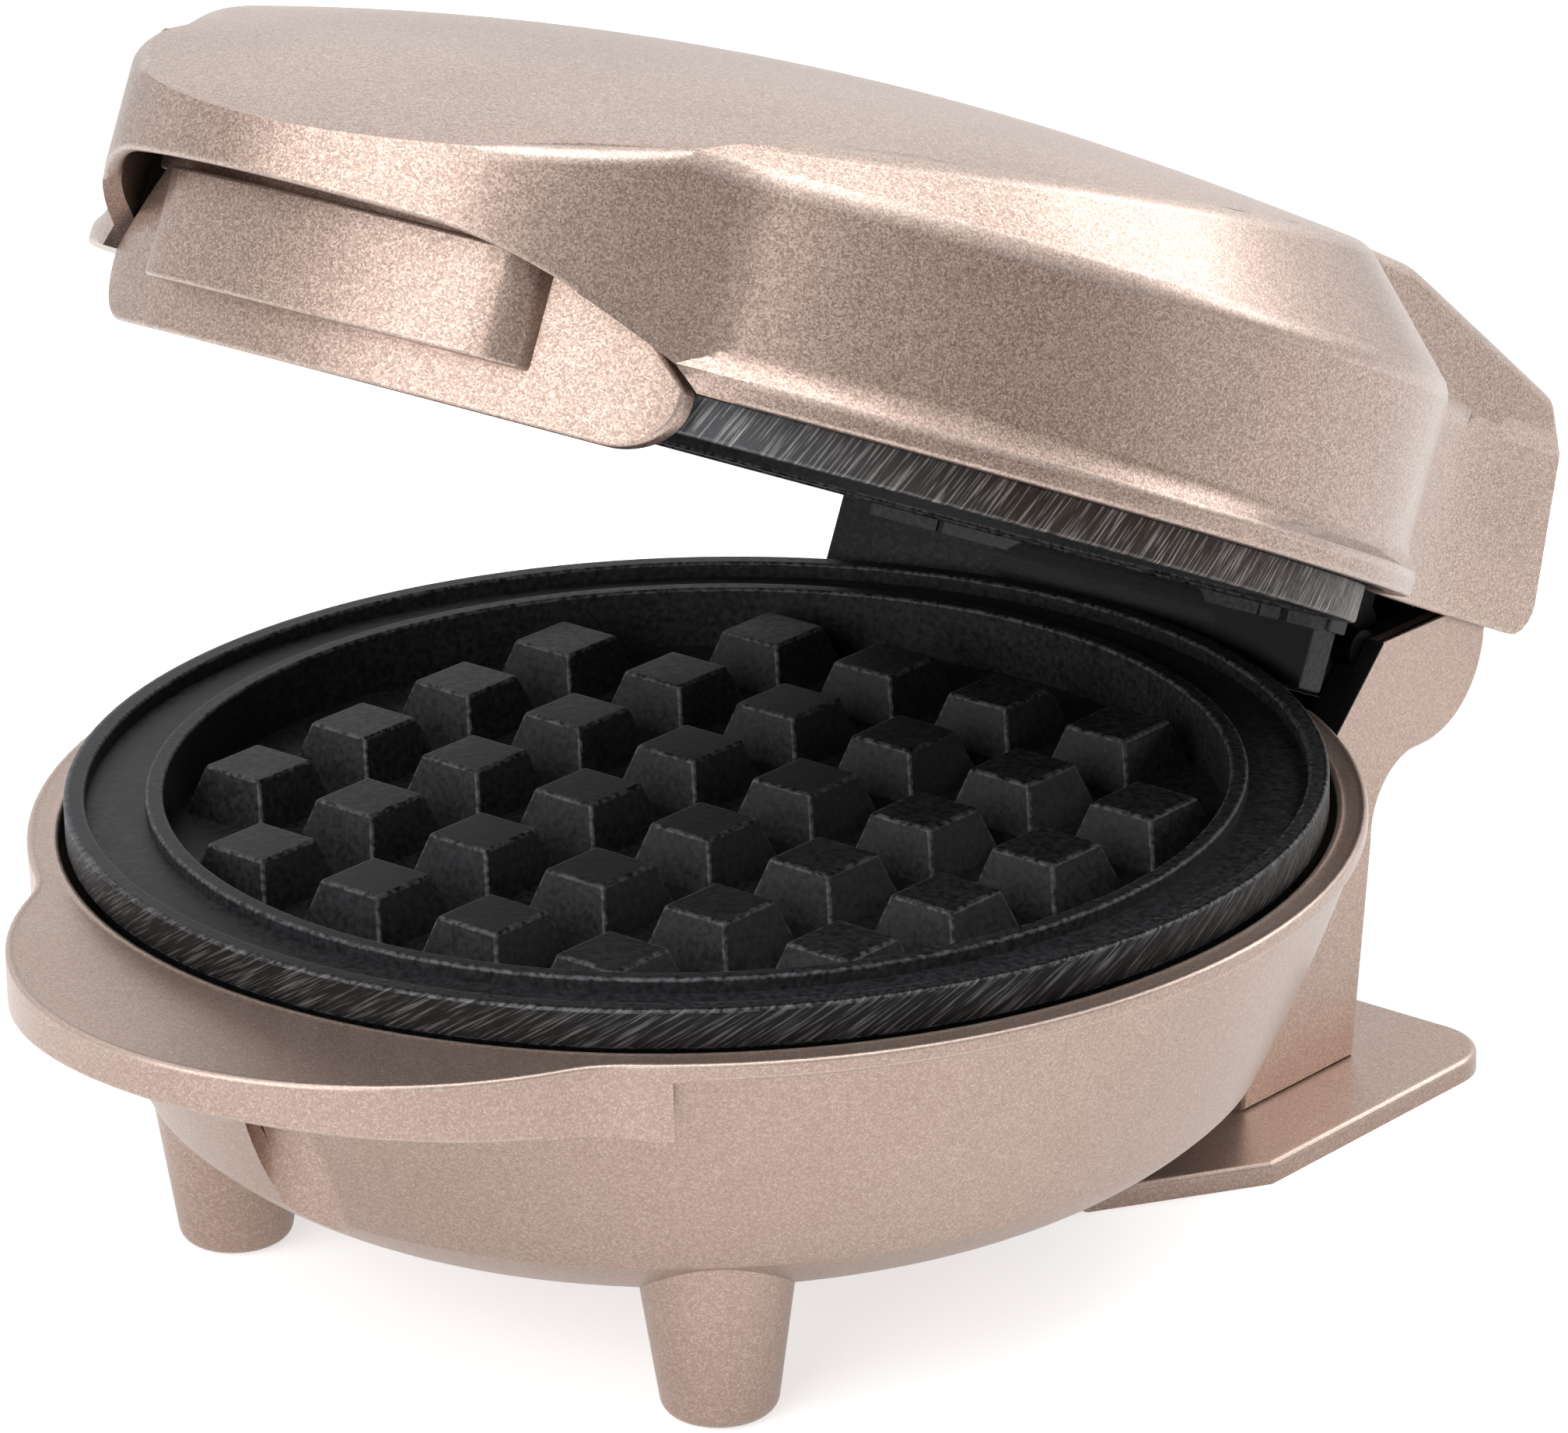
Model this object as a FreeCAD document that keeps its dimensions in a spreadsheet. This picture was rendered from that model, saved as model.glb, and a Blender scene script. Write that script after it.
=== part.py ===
import FreeCAD, Part
import math
import os
import Sketcher

# Round tabletop waffle maker, millimetres. +Z is up, the handle faces -Y and the hinge is at the back.
# Everything is drawn with the lid shut and the plates' centre on the Z axis; the lid's pieces are then
# turned open about the hinge, and the whole is set over the middle of its footprint.

SIZES = {
    # cooking plates
    "plate_radius": 90.0,
    "plate_side": 5.8,
    "seam_z": 68.3,
    "seam_gap": 0.4,
    "land_width": 3.0,
    "channel_width": 8.5,
    "channel_depth": 2.4,
    "lip_width": 2.6,
    "lip_drop": 0.3,
    "cavity_depth": 9.5,
    "plate_floor": 3.5,
    "plate_body_inset": 4.0,
    "peg_fill": 3.45,
    "peg_share": 0.7045,
    "peg_height": 7.2,
    "peg_taper": 18.0,
    "boss_inset": 48.0,
    "plate_boss_radius": 5.0,
    "plate_boss_drop": 8.2,
    # heating and wiring
    "element_inset": 30.0,
    "element_tube": 3.3,
    "element_gap_angle": 15.0,
    "element_seat": 0.05,
    "element_pin_radius": 1.6,
    "pin_hole_radius": 4.0,
    "shield_inset": 18.0,
    "shield_thick": 0.8,
    "shield_rim": 6.0,
    "shield_screw_inset": 44.0,
    "thermostat_radius": 8.0,
    "thermostat_y": 18.0,
    "fuse_radius": 2.2,
    "fuse_length": 16.0,
    "fuse_y": -20.0,
    "terminal_width": 28.0,
    "terminal_depth": 13.0,
    "terminal_height": 10.0,
    "lead_radius": 3.0,
    "lead_bend": 8.0,
    "lead_run": 2.0,
    # base housing
    "rim_z": 62.8,
    "rim_gap": 1.0,
    "rim_land": 4.5,
    "rim_thick": 2.5,
    "rim_step": 0.9,
    "housing_wall": 2.5,
    "bowl_turn_inset": 9.0,
    "bowl_turn_z": 27.0,
    "bowl_flat_inset": 36.0,
    "bowl_floor_z": 15.3,
    "bowl_side_curve": 340.0,
    "tongue_radius": 56.0,
    "tongue_overhang": 25.2,
    "tongue_fillet": 18.0,
    "tongue_skirt": 11.0,
    "tongue_skirt_front": 6.0,
    "tongue_arch": 340.0,
    "tongue_wing": 3.5,
    "tongue_sheet": 2.5,
    "notch_radius": 7.0,
    "notch_inset": 5.5,
    "notch_liner": 2.5,
    "notch_roof_z": 51.5,
    "leg_inset": 21.49,
    "leg_angle": 47.48,
    "leg_foot_radius": 8.0,
    "leg_taper": 8.0,
    "leg_top_z": 34.0,
    "leg_end_z": 0.1,
    "leg_round": 2.5,
    "foot_pad_radius": 4.0,
    "foot_pad_depth": 2.0,
    "housing_boss_radius": 5.5,
    "screw_seat_z": 34.0,
    # rear column and foot plate
    "column_half": 46.0,
    "cheek": 6.0,
    "column_wall": 3.0,
    "column_front": 22.0,
    "column_step": 2.0,
    "column_step_z": 45.0,
    "column_foot": 5.2,
    "column_back": 9.7,
    "column_back_z": 37.0,
    "column_cove": 11.0,
    "cheek_under_z": 48.3,
    "cheek_round": 15.0,
    "cheek_top_z": 67.5,
    "cheek_back": 27.0,
    "cheek_crown": 1.2,
    "cheek_slant_run": 12.2,
    "cheek_slant_drop": 11.8,
    "column_ledge": 3.0,
    "tray_thick": 2.0,
    "tray_gap": 0.2,
    "foot_plate_thick": 3.4,
    "foot_plate_half": 60.5,
    "foot_plate_front_half": 45.5,
    "foot_plate_front": 58.5,
    "foot_plate_wide": 34.0,
    "foot_plate_back": 23.5,
    "foot_plate_corner": 10.0,
    "gland_z": 20.0,
    "gland_hole": 5.0,
    "gland_clear": 0.02,
    "gland_flange": 7.5,
    "gland_flange_thick": 2.0,
    # hinge
    "hinge_gap": 11.0,
    "hinge_z": 66.0,
    "hinge_pin_radius": 3.0,
    "hinge_pin_clear": 0.05,
    "pin_seat_clear": 0.02,
    "pin_seat_depth": 3.0,
    "pin_end_gap": 0.2,
    "hinge_barrel": 8.5,
    "hinge_block_gap": 0.5,
    "hinge_block_inset": 0.5,
    "hinge_block_back": 5.0,
    "hinge_block_lift": 2.3,
    "hinge_wing_back": 11.5,
    "rim_cut": 12.0,
    "hinge_block_top": 25.6,
    "hinge_block_well_half": 26.0,
    "hinge_screw_ahead": 7.2,
    "hinge_block_well_wall": 3.0,
    "hinge_block_well_floor": 12.0,
    "rest_open": 25.2,
    # lid housing
    "lid_lift": 5.5,
    "lid_wall": 2.4,
    "lid_lip": 3.1,
    "lid_cove": 4.0,
    "lid_overhang": 1.0,
    "lid_step": 2.0,
    "bevel_z": 29.4,
    "bevel_slope": 46.0,
    "dome_rise": 51.5,
    "dome_y": 17.5,
    "dome_radius": 296.0,
    "dome_back_radius": 1600.0,
    "dome_cross_radius": 460.0,
    "block_gap": 1.0,
    "block_reach": 33.2,
    "block_lean": 10.5,
    "block_bevel": 73.5,
    "block_fillet": 70.0,
    "block_roof_ahead": 21.0,
    "block_roof_rise": 54.7,
    "block_roof_slope": 15.6,
    "block_roof_radius": 208.0,
    "arch_half": 54.3,
    "arch_shoulder": 28.0,
    "arch_side_rise": 12.5,
    "arch_rise": 12.8,
    "arch_side_radius": 38.8,
    "lid_boss_radius": 4.0,
    # handle
    "tab_inset": 0.5,
    "tab_thick": 2.4,
    "tab_half": 52.0,
    "tab_clear": 1.8,
    "tab_corner": 8.0,
    "tab_top": 26.0,
    "grip_half": 33.6,
    "grip_proud": 6.0,
    "grip_foot": 3.0,
    "grip_top": 18.2,
    "lug_x": 41.0,
    "lug_inset": 6.6,
    "lug_radius": 5.0,
    "lug_thick": 2.5,
    "lug_z": 18.0,
    # screws
    "screw_radius": 1.75,
    "screw_clear": 0.15,
    "screw_head_radius": 3.4,
    "screw_head": 2.2,
    "head_clear": 0.4,
    "plate_screw_bite": 6.0,
    "lid_screw_bite": 7.0,
}

PEG_ROWS = 6
BOSS_ANGLES = (30.0, 150.0, 270.0)
SHIELD_SCREW_ANGLES = (90.0, 210.0, 330.0)
FAR = 400.0

doc = FreeCAD.newDocument("waffle_maker")
sheet = doc.addObject("Spreadsheet::Sheet", "Sizes")


class Size:
    """A number together with the spreadsheet expression that gives it."""

    def __init__(self, value, text):
        self.value = value
        self.text = text

    def __add__(self, other):
        other = as_size(other)
        return Size(self.value + other.value, f"({self.text} + {other.text})")

    def __sub__(self, other):
        other = as_size(other)
        return Size(self.value - other.value, f"({self.text} - {other.text})")

    def __mul__(self, other):
        other = as_size(other)
        return Size(self.value * other.value, f"({self.text} * {other.text})")

    def __truediv__(self, other):
        other = as_size(other)
        return Size(self.value / other.value, f"({self.text} / {other.text})")

    def __neg__(self):
        return Size(-self.value, f"(0 - {self.text})")

    def __radd__(self, other):
        return as_size(other) + self

    def __rsub__(self, other):
        return as_size(other) - self

    def __rmul__(self, other):
        return as_size(other) * self


def as_size(number):
    if isinstance(number, Size):
        return number
    return Size(float(number), f"({float(number)!r})")


def root(size):
    return Size(math.sqrt(size.value), f"sqrt({size.text})")


def sine(degrees):
    degrees = as_size(degrees)
    return Size(math.sin(math.radians(degrees.value)), f"sin({degrees.text})")


def cosine(degrees):
    degrees = as_size(degrees)
    return Size(math.cos(math.radians(degrees.value)), f"cos({degrees.text})")


def tangent(degrees):
    return sine(degrees) / cosine(degrees)


def other_leg(long_side, leg):
    """Third side of a right triangle."""
    return root(long_side * long_side - leg * leg)


class SizeTable:
    """The spreadsheet's cells, read by name."""

    def __init__(self, values):
        for row, (name, value) in enumerate(values.items(), start=1):
            sheet.set(f"A{row}", name)
            sheet.set(f"B{row}", str(value))
            sheet.setAlias(f"B{row}", name)
            setattr(self, name, Size(value, f"Sizes.{name}"))


S = SizeTable(SIZES)
doc.recompute()

# Sizes worked out from the table
cavity_radius = S.plate_radius - S.land_width - S.channel_width - S.lip_width
peg_pitch = cavity_radius / S.peg_fill
element_circle = S.plate_radius - S.element_inset
boss_circle = S.plate_radius - S.boss_inset
shield_screw_circle = S.plate_radius - S.shield_screw_inset
rim_opening = S.plate_radius + S.rim_gap
rim_radius = rim_opening + S.rim_land
rim_under_z = S.rim_z - S.rim_thick
bowl_turn_radius = S.plate_radius - S.bowl_turn_inset
bowl_flat_radius = S.plate_radius - S.bowl_flat_inset
notch_y = S.plate_radius - S.notch_inset
leg_x = (S.plate_radius - S.leg_inset) * cosine(S.leg_angle)
leg_y = (S.plate_radius - S.leg_inset) * sine(S.leg_angle)
column_front_y = S.plate_radius - S.column_front
column_step_y = S.plate_radius - S.column_step
column_foot_y = S.plate_radius + S.column_foot
column_back_y = S.plate_radius + S.column_back
cheek_foot_z = S.cheek_top_z - S.cheek_slant_drop
foot_plate_front_y = S.plate_radius - S.foot_plate_front
foot_plate_wide_y = S.plate_radius - S.foot_plate_wide
foot_plate_back_y = S.plate_radius + S.foot_plate_back
bowl_top_radius = rim_radius - S.rim_step
tongue_y = S.tongue_radius - S.plate_radius - S.tongue_overhang
mirror_z = S.seam_z + S.seam_gap / 2
plate_back_z = S.seam_z - S.cavity_depth - S.plate_floor
lower_shield_top = plate_back_z - S.plate_boss_drop
lower_shield_z = lower_shield_top - S.shield_thick
upper_shield_z = 2 * mirror_z - lower_shield_top
upper_shield_top = upper_shield_z + S.shield_thick
upper_plate_back_z = 2 * mirror_z - plate_back_z
shield_radius = S.plate_radius - S.shield_inset
hinge_y = S.plate_radius + S.hinge_gap
cheek_inner = S.column_half - S.cheek
trough_front = column_step_y + S.column_wall
screw_hole = S.screw_radius + S.screw_clear
head_hole = S.screw_head_radius + S.head_clear
lid_edge_z = S.seam_z + S.seam_gap + S.lid_lift
lid_lip_radius = rim_radius + S.lid_overhang
lid_wall_radius = lid_lip_radius - S.lid_step
bevel_z = lid_edge_z + S.bevel_z
dome_z = lid_edge_z + S.dome_rise
block_half = S.column_half + S.block_gap + S.lid_wall
block_back = hinge_y + S.block_reach
tab_radius = rim_radius - S.tab_inset
lug_circle = tab_radius - S.lug_inset
lug_y = -other_leg(lug_circle, S.lug_x)
lug_top = S.seam_z + S.lug_z + S.lug_thick
hinge_block_half = cheek_inner - S.hinge_block_gap
hinge_block_radius = rim_radius - S.hinge_block_inset
hinge_block_top = S.seam_z + S.hinge_block_top
hinge_screw_x = hinge_block_half - S.lid_boss_radius - 1
hinge_screw_y = hinge_y - S.hinge_screw_ahead

base_nodes = []
lid_nodes = []


def bind(item, name, size):
    item.setExpression(name, as_size(size).text)


def arc_between(start, stop, bend):
    """The shorter arc from start to stop; a positive bend turns left."""
    chord = stop - start
    left = FreeCAD.Vector(-chord.y, chord.x, 0).normalize()
    height = math.sqrt(max(bend * bend - chord.Length ** 2 / 4, 0.0))
    centre = (start + stop) * 0.5 + left * math.copysign(height, bend)
    first, last = (start, stop) if bend > 0 else (stop, start)
    from_angle = math.atan2(first.y - centre.y, first.x - centre.x)
    to_angle = math.atan2(last.y - centre.y, last.x - centre.x)
    if to_angle < from_angle:
        to_angle += 2 * math.pi
    circle = Part.Circle(centre, FreeCAD.Vector(0, 0, 1), abs(bend))
    return Part.ArcOfCircle(circle, from_angle, to_angle)


def constrain(sketch, kind, *where, size):
    size = as_size(size)
    index = sketch.addConstraint(Sketcher.Constraint(kind, *where, size.value))
    sketch.setExpression(f"Constraints[{index}]", size.text)


def draw_run(sketch, corners, closed=True):
    """Draw lines and arcs through corners given as (x, y) or (x, y, bend of the arc to the next)."""
    first = sketch.GeometryCount
    points = [FreeCAD.Vector(as_size(c[0]).value, as_size(c[1]).value, 0) for c in corners]
    count = len(corners) if closed else len(corners) - 1
    ends = []
    for index in range(count):
        start = points[index]
        stop = points[(index + 1) % len(corners)]
        if len(corners[index]) == 2:
            sketch.addGeometry(Part.LineSegment(start, stop), False)
            ends.append((1, 2))
            continue
        bend = as_size(corners[index][2]).value
        sketch.addGeometry(arc_between(start, stop, bend), False)
        ends.append((1, 2) if bend > 0 else (2, 1))
    for index in range(count):
        edge = first + index
        constrain(sketch, "DistanceX", edge, ends[index][0], size=corners[index][0])
        constrain(sketch, "DistanceY", edge, ends[index][0], size=corners[index][1])
        if len(corners[index]) == 3:
            bend = as_size(corners[index][2])
            constrain(sketch, "Radius", edge, size=bend if bend.value > 0 else -bend)
        if closed or index + 1 < count:
            after = (index + 1) % count
            joint = Sketcher.Constraint("Coincident", edge, ends[index][1], first + after, ends[after][0])
            sketch.addConstraint(joint)
    if not closed:
        constrain(sketch, "DistanceX", first + count - 1, ends[-1][1], size=corners[-1][0])
        constrain(sketch, "DistanceY", first + count - 1, ends[-1][1], size=corners[-1][1])


def draw_circle(sketch, x, y, radius):
    x, y, radius = as_size(x), as_size(y), as_size(radius)
    centre = FreeCAD.Vector(x.value, y.value, 0)
    edge = sketch.addGeometry(Part.Circle(centre, FreeCAD.Vector(0, 0, 1), radius.value), False)
    constrain(sketch, "DistanceX", edge, 3, size=x)
    constrain(sketch, "DistanceY", edge, 3, size=y)
    constrain(sketch, "Radius", edge, size=radius)


def rectangle(x0, y0, x1, y1):
    return [(x0, y0), (x1, y0), (x1, y1), (x0, y1)]


def polar(radius, degrees):
    return radius * cosine(degrees), radius * sine(degrees)


# Sketches in a body, on one of its own origin planes

def new_body(label):
    body = doc.addObject("PartDesign::Body", label)
    body.Label = label
    return body


def body_sketch(body, name, plane, offset=None):
    sketch = body.newObject("Sketcher::SketchObject", f"{body.Name}_{name}")
    support = [f for f in body.Origin.OriginFeatures if f.Role == plane][0]
    sketch.AttachmentSupport = [(support, "")]
    sketch.MapMode = "FlatFace"
    if offset is not None:
        bind(sketch, "AttachmentOffset.Base.z", offset)
    return sketch


def add_feature(body, kind, sketch, name):
    feature = body.newObject(f"PartDesign::{kind}", f"{body.Name}_{name}")
    feature.Profile = sketch
    return feature


def add_pad(body, name, sketch, length, down=False, both=False, taper=None):
    pad = add_feature(body, "Pad", sketch, name)
    bind(pad, "Length", length)
    pad.Reversed = down
    if both:
        pad.SideType = "Symmetric"
    if taper is not None:
        bind(pad, "TaperAngle", taper)
    doc.recompute()
    return pad


def add_pocket(body, name, sketch, length=None, up=False, both=False):
    before = body.Shape.Volume
    pocket = add_feature(body, "Pocket", sketch, name)
    if length is None:
        pocket.Type = "ThroughAll"
    else:
        bind(pocket, "Length", length)
    pocket.Reversed = up
    if both:
        pocket.SideType = "Symmetric"
    doc.recompute()
    if not body.Shape.Volume < before:
        raise RuntimeError(f"{pocket.Name} cuts nothing")
    return pocket


def add_turn(body, name, sketch):
    turn = add_feature(body, "Revolution", sketch, name)
    turn.ReferenceAxis = (sketch, ["V_Axis"])
    turn.Angle = 360
    doc.recompute()
    return turn


def add_groove(body, name, sketch):
    before = body.Shape.Volume
    groove = add_feature(body, "Groove", sketch, name)
    groove.ReferenceAxis = (sketch, ["V_Axis"])
    groove.Angle = 360
    doc.recompute()
    if not body.Shape.Volume < before:
        raise RuntimeError(f"{groove.Name} cuts nothing")
    return groove


# Free sketches and the solids made from them

PLANES = {
    "XY": FreeCAD.Rotation(),
    "XZ": FreeCAD.Rotation(FreeCAD.Vector(1, 0, 0), 90),
    "YZ": FreeCAD.Rotation(FreeCAD.Vector(1, 1, 1), 120),
}


def free_sketch(name, plane, corners, closed=True):
    sketch = doc.addObject("Sketcher::SketchObject", name)
    sketch.Placement = FreeCAD.Placement(FreeCAD.Vector(), PLANES[plane])
    draw_run(sketch, corners, closed)
    return sketch


def extruded(name, sketch, ahead, behind=0.0):
    """Solid of a sketch, run ahead of its plane and behind it."""
    solid = doc.addObject("Part::Extrusion", name)
    solid.Base = sketch
    solid.DirMode = "Normal"
    solid.Solid = True
    bind(solid, "LengthFwd", ahead)
    bind(solid, "LengthRev", behind)
    return solid


def turned(name, sketch):
    solid = doc.addObject("Part::Revolution", name)
    solid.Source = sketch
    solid.Axis = FreeCAD.Vector(0, 0, 1)
    solid.Angle = 360
    solid.Solid = True
    return solid


def cylinder(name, x, y, z, radius, height):
    solid = doc.addObject("Part::Cylinder", name)
    bind(solid, "Radius", radius)
    bind(solid, "Height", height)
    bind(solid, "Placement.Base.x", x)
    bind(solid, "Placement.Base.y", y)
    bind(solid, "Placement.Base.z", z)
    return solid


def cone(name, x, y, z, foot_radius, top_radius, height):
    solid = doc.addObject("Part::Cone", name)
    bind(solid, "Radius1", foot_radius)
    bind(solid, "Radius2", top_radius)
    bind(solid, "Height", height)
    bind(solid, "Placement.Base.x", x)
    bind(solid, "Placement.Base.y", y)
    bind(solid, "Placement.Base.z", z)
    return solid


def box(name, x0, y0, z0, length, width, height):
    solid = doc.addObject("Part::Box", name)
    bind(solid, "Length", length)
    bind(solid, "Width", width)
    bind(solid, "Height", height)
    bind(solid, "Placement.Base.x", x0)
    bind(solid, "Placement.Base.y", y0)
    bind(solid, "Placement.Base.z", z0)
    return solid


def fused(name, solids):
    result = doc.addObject("Part::MultiFuse", name)
    result.Shapes = solids
    return result


def shared(name, solids):
    result = doc.addObject("Part::MultiCommon", name)
    result.Shapes = solids
    return result


def cut(name, solid, tool):
    result = doc.addObject("Part::Cut", name)
    result.Base = solid
    result.Tool = tool
    return result


def group(name, solids):
    result = doc.addObject("Part::Compound", name)
    result.Links = solids
    return result


def screw(name, x, y, seat_z, length, up=True):
    """Pan-head screw whose head rests on seat_z; the shank runs up or down from there."""
    if up:
        shank = cylinder(f"{name}_shank", x, y, seat_z, S.screw_radius, length)
        head = cylinder(f"{name}_head", x, y, seat_z - S.screw_head, S.screw_head_radius, S.screw_head)
    else:
        shank = cylinder(f"{name}_shank", x, y, seat_z - length, S.screw_radius, length)
        head = cylinder(f"{name}_head", x, y, seat_z, S.screw_head_radius, S.screw_head)
    return fused(name, [shank, head])


def screw_group(name, places, seat_z, length, up=True):
    return group(name, [screw(f"{name}_{i}", x, y, seat_z, length, up) for i, (x, y) in enumerate(places)])


def on_base(item, label):
    item.Label = label
    base_nodes.append(item)


def on_lid(item, label):
    item.Label = label
    lid_nodes.append(item)


boss_places = [polar(boss_circle, angle) for angle in BOSS_ANGLES]
shield_screw_places = [polar(shield_screw_circle, angle) for angle in SHIELD_SCREW_ANGLES]
element_pin_places = [polar(element_circle, 90 + side * S.element_gap_angle / 2) for side in (-1, 1)]
hinge_screw_places = [(side * hinge_screw_x, hinge_screw_y) for side in (-1, 1)]
lug_places = [(side * S.lug_x, lug_y) for side in (-1, 1)]


def nose_blend(round_radius, nose_radius, fillet):
    """Centre of the hollow fillet between a round rim and the nose, and where it touches each of them."""
    reach = round_radius + fillet
    nose_reach = nose_radius + fillet
    y = (reach * reach - nose_reach * nose_reach + tongue_y * tongue_y) / (2 * tongue_y)
    x = other_leg(reach, y)
    on_rim = (x * round_radius / reach, y * round_radius / reach)
    on_nose = (x * nose_radius / nose_reach, tongue_y + (y - tongue_y) * nose_radius / nose_reach)
    return (x, y), on_rim, on_nose


def tongue_outline():
    """Nose that grows out of the rim with a fillet on each side, then follows the rim as a short wing."""
    fillet = S.tongue_fillet
    nose_radius = S.tongue_radius
    centre, (rim_x, rim_y), (nose_x, nose_y) = nose_blend(rim_radius, nose_radius, fillet)
    wing_x = rim_x * cosine(S.tongue_wing) - rim_y * sine(S.tongue_wing)
    wing_y = rim_x * sine(S.tongue_wing) + rim_y * cosine(S.tongue_wing)
    return [
        (-wing_x, wing_y, rim_radius),
        (-rim_x, rim_y, -fillet),
        (-nose_x, nose_y, nose_radius),
        (0, tongue_y - nose_radius, nose_radius),
        (nose_x, nose_y, -fillet),
        (rim_x, rim_y, rim_radius),
        (wing_x, wing_y),
    ]


def make_lower_plate():
    """Cast plate: crest, overflow channel, lip, cavity with pegs, and bosses underneath."""
    body = new_body("plate_casting")
    land_in = S.plate_radius - S.land_width
    lip_out = land_in - S.channel_width
    side_z = S.seam_z - S.plate_side
    channel_z = S.seam_z - S.channel_depth
    lip_z = S.seam_z - S.lip_drop
    floor_z = S.seam_z - S.cavity_depth
    body_radius = S.plate_radius - S.plate_body_inset
    profile = body_sketch(body, "profile", "XZ_Plane")
    draw_run(profile, [
        (0, plate_back_z),
        (body_radius, plate_back_z),
        (body_radius, side_z),
        (S.plate_radius, side_z),
        (S.plate_radius, S.seam_z),
        (land_in, S.seam_z),
        (land_in, channel_z),
        (lip_out, channel_z),
        (lip_out, lip_z),
        (cavity_radius, lip_z),
        (cavity_radius, floor_z),
        (0, floor_z),
    ])
    add_turn(body, "casting", profile)
    pegs = body_sketch(body, "pegs", "XY_Plane", floor_z)
    middle = (PEG_ROWS - 1) / 2
    half = peg_pitch * S.peg_share / 2
    for row in range(PEG_ROWS):
        for column in range(PEG_ROWS):
            if {row, column} <= {0, PEG_ROWS - 1}:
                continue
            x = (column - middle) * peg_pitch
            y = (row - middle) * peg_pitch
            draw_run(pegs, rectangle(x - half, y - half, x + half, y + half))
    add_pad(body, "peg_pads", pegs, S.peg_height, taper=-S.peg_taper)
    bosses = body_sketch(body, "bosses", "XY_Plane", plate_back_z)
    for x, y in boss_places:
        draw_circle(bosses, x, y, S.plate_boss_radius)
    add_pad(body, "boss_pads", bosses, S.plate_boss_drop, down=True)
    holes = body_sketch(body, "holes", "XY_Plane", lower_shield_top)
    for x, y in boss_places:
        draw_circle(holes, x, y, screw_hole)
    add_pocket(body, "screw_holes", holes, S.plate_screw_bite + S.screw_clear, up=True)
    return body


def make_shield(label, flat_z, rim_up, hole_places, pin_places):
    """Pressed steel pan behind a plate, with screw holes and a slot for each heater pin."""
    body = new_body(label)
    far_z = flat_z + S.shield_thick
    rim_z = far_z + S.shield_rim if rim_up else flat_z - S.shield_rim
    near_z = far_z if rim_up else flat_z
    back_z = flat_z if rim_up else far_z
    profile = body_sketch(body, "profile", "XZ_Plane")
    draw_run(profile, [
        (0, back_z),
        (shield_radius, back_z),
        (shield_radius, rim_z),
        (shield_radius - S.shield_thick, rim_z),
        (shield_radius - S.shield_thick, near_z),
        (0, near_z),
    ])
    add_turn(body, "pan", profile)
    holes = body_sketch(body, "holes", "XY_Plane", far_z)
    for x, y in hole_places:
        draw_circle(holes, x, y, screw_hole)
    for x, y in pin_places:
        draw_circle(holes, x, y, S.pin_hole_radius)
    add_pocket(body, "punched_holes", holes, 2 * S.shield_thick)
    return body


def make_element(label, z):
    """Tubular heater bent into an open ring."""
    ring = doc.addObject("Part::Torus", f"{label}_ring")
    bind(ring, "Radius1", element_circle)
    bind(ring, "Radius2", S.element_tube)
    bind(ring, "Angle3", 360 - S.element_gap_angle)
    bind(ring, "Placement.Base.z", z)
    bind(ring, "Placement.Rotation.Angle", 90 + S.element_gap_angle / 2)
    return group(label, [ring])


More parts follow.
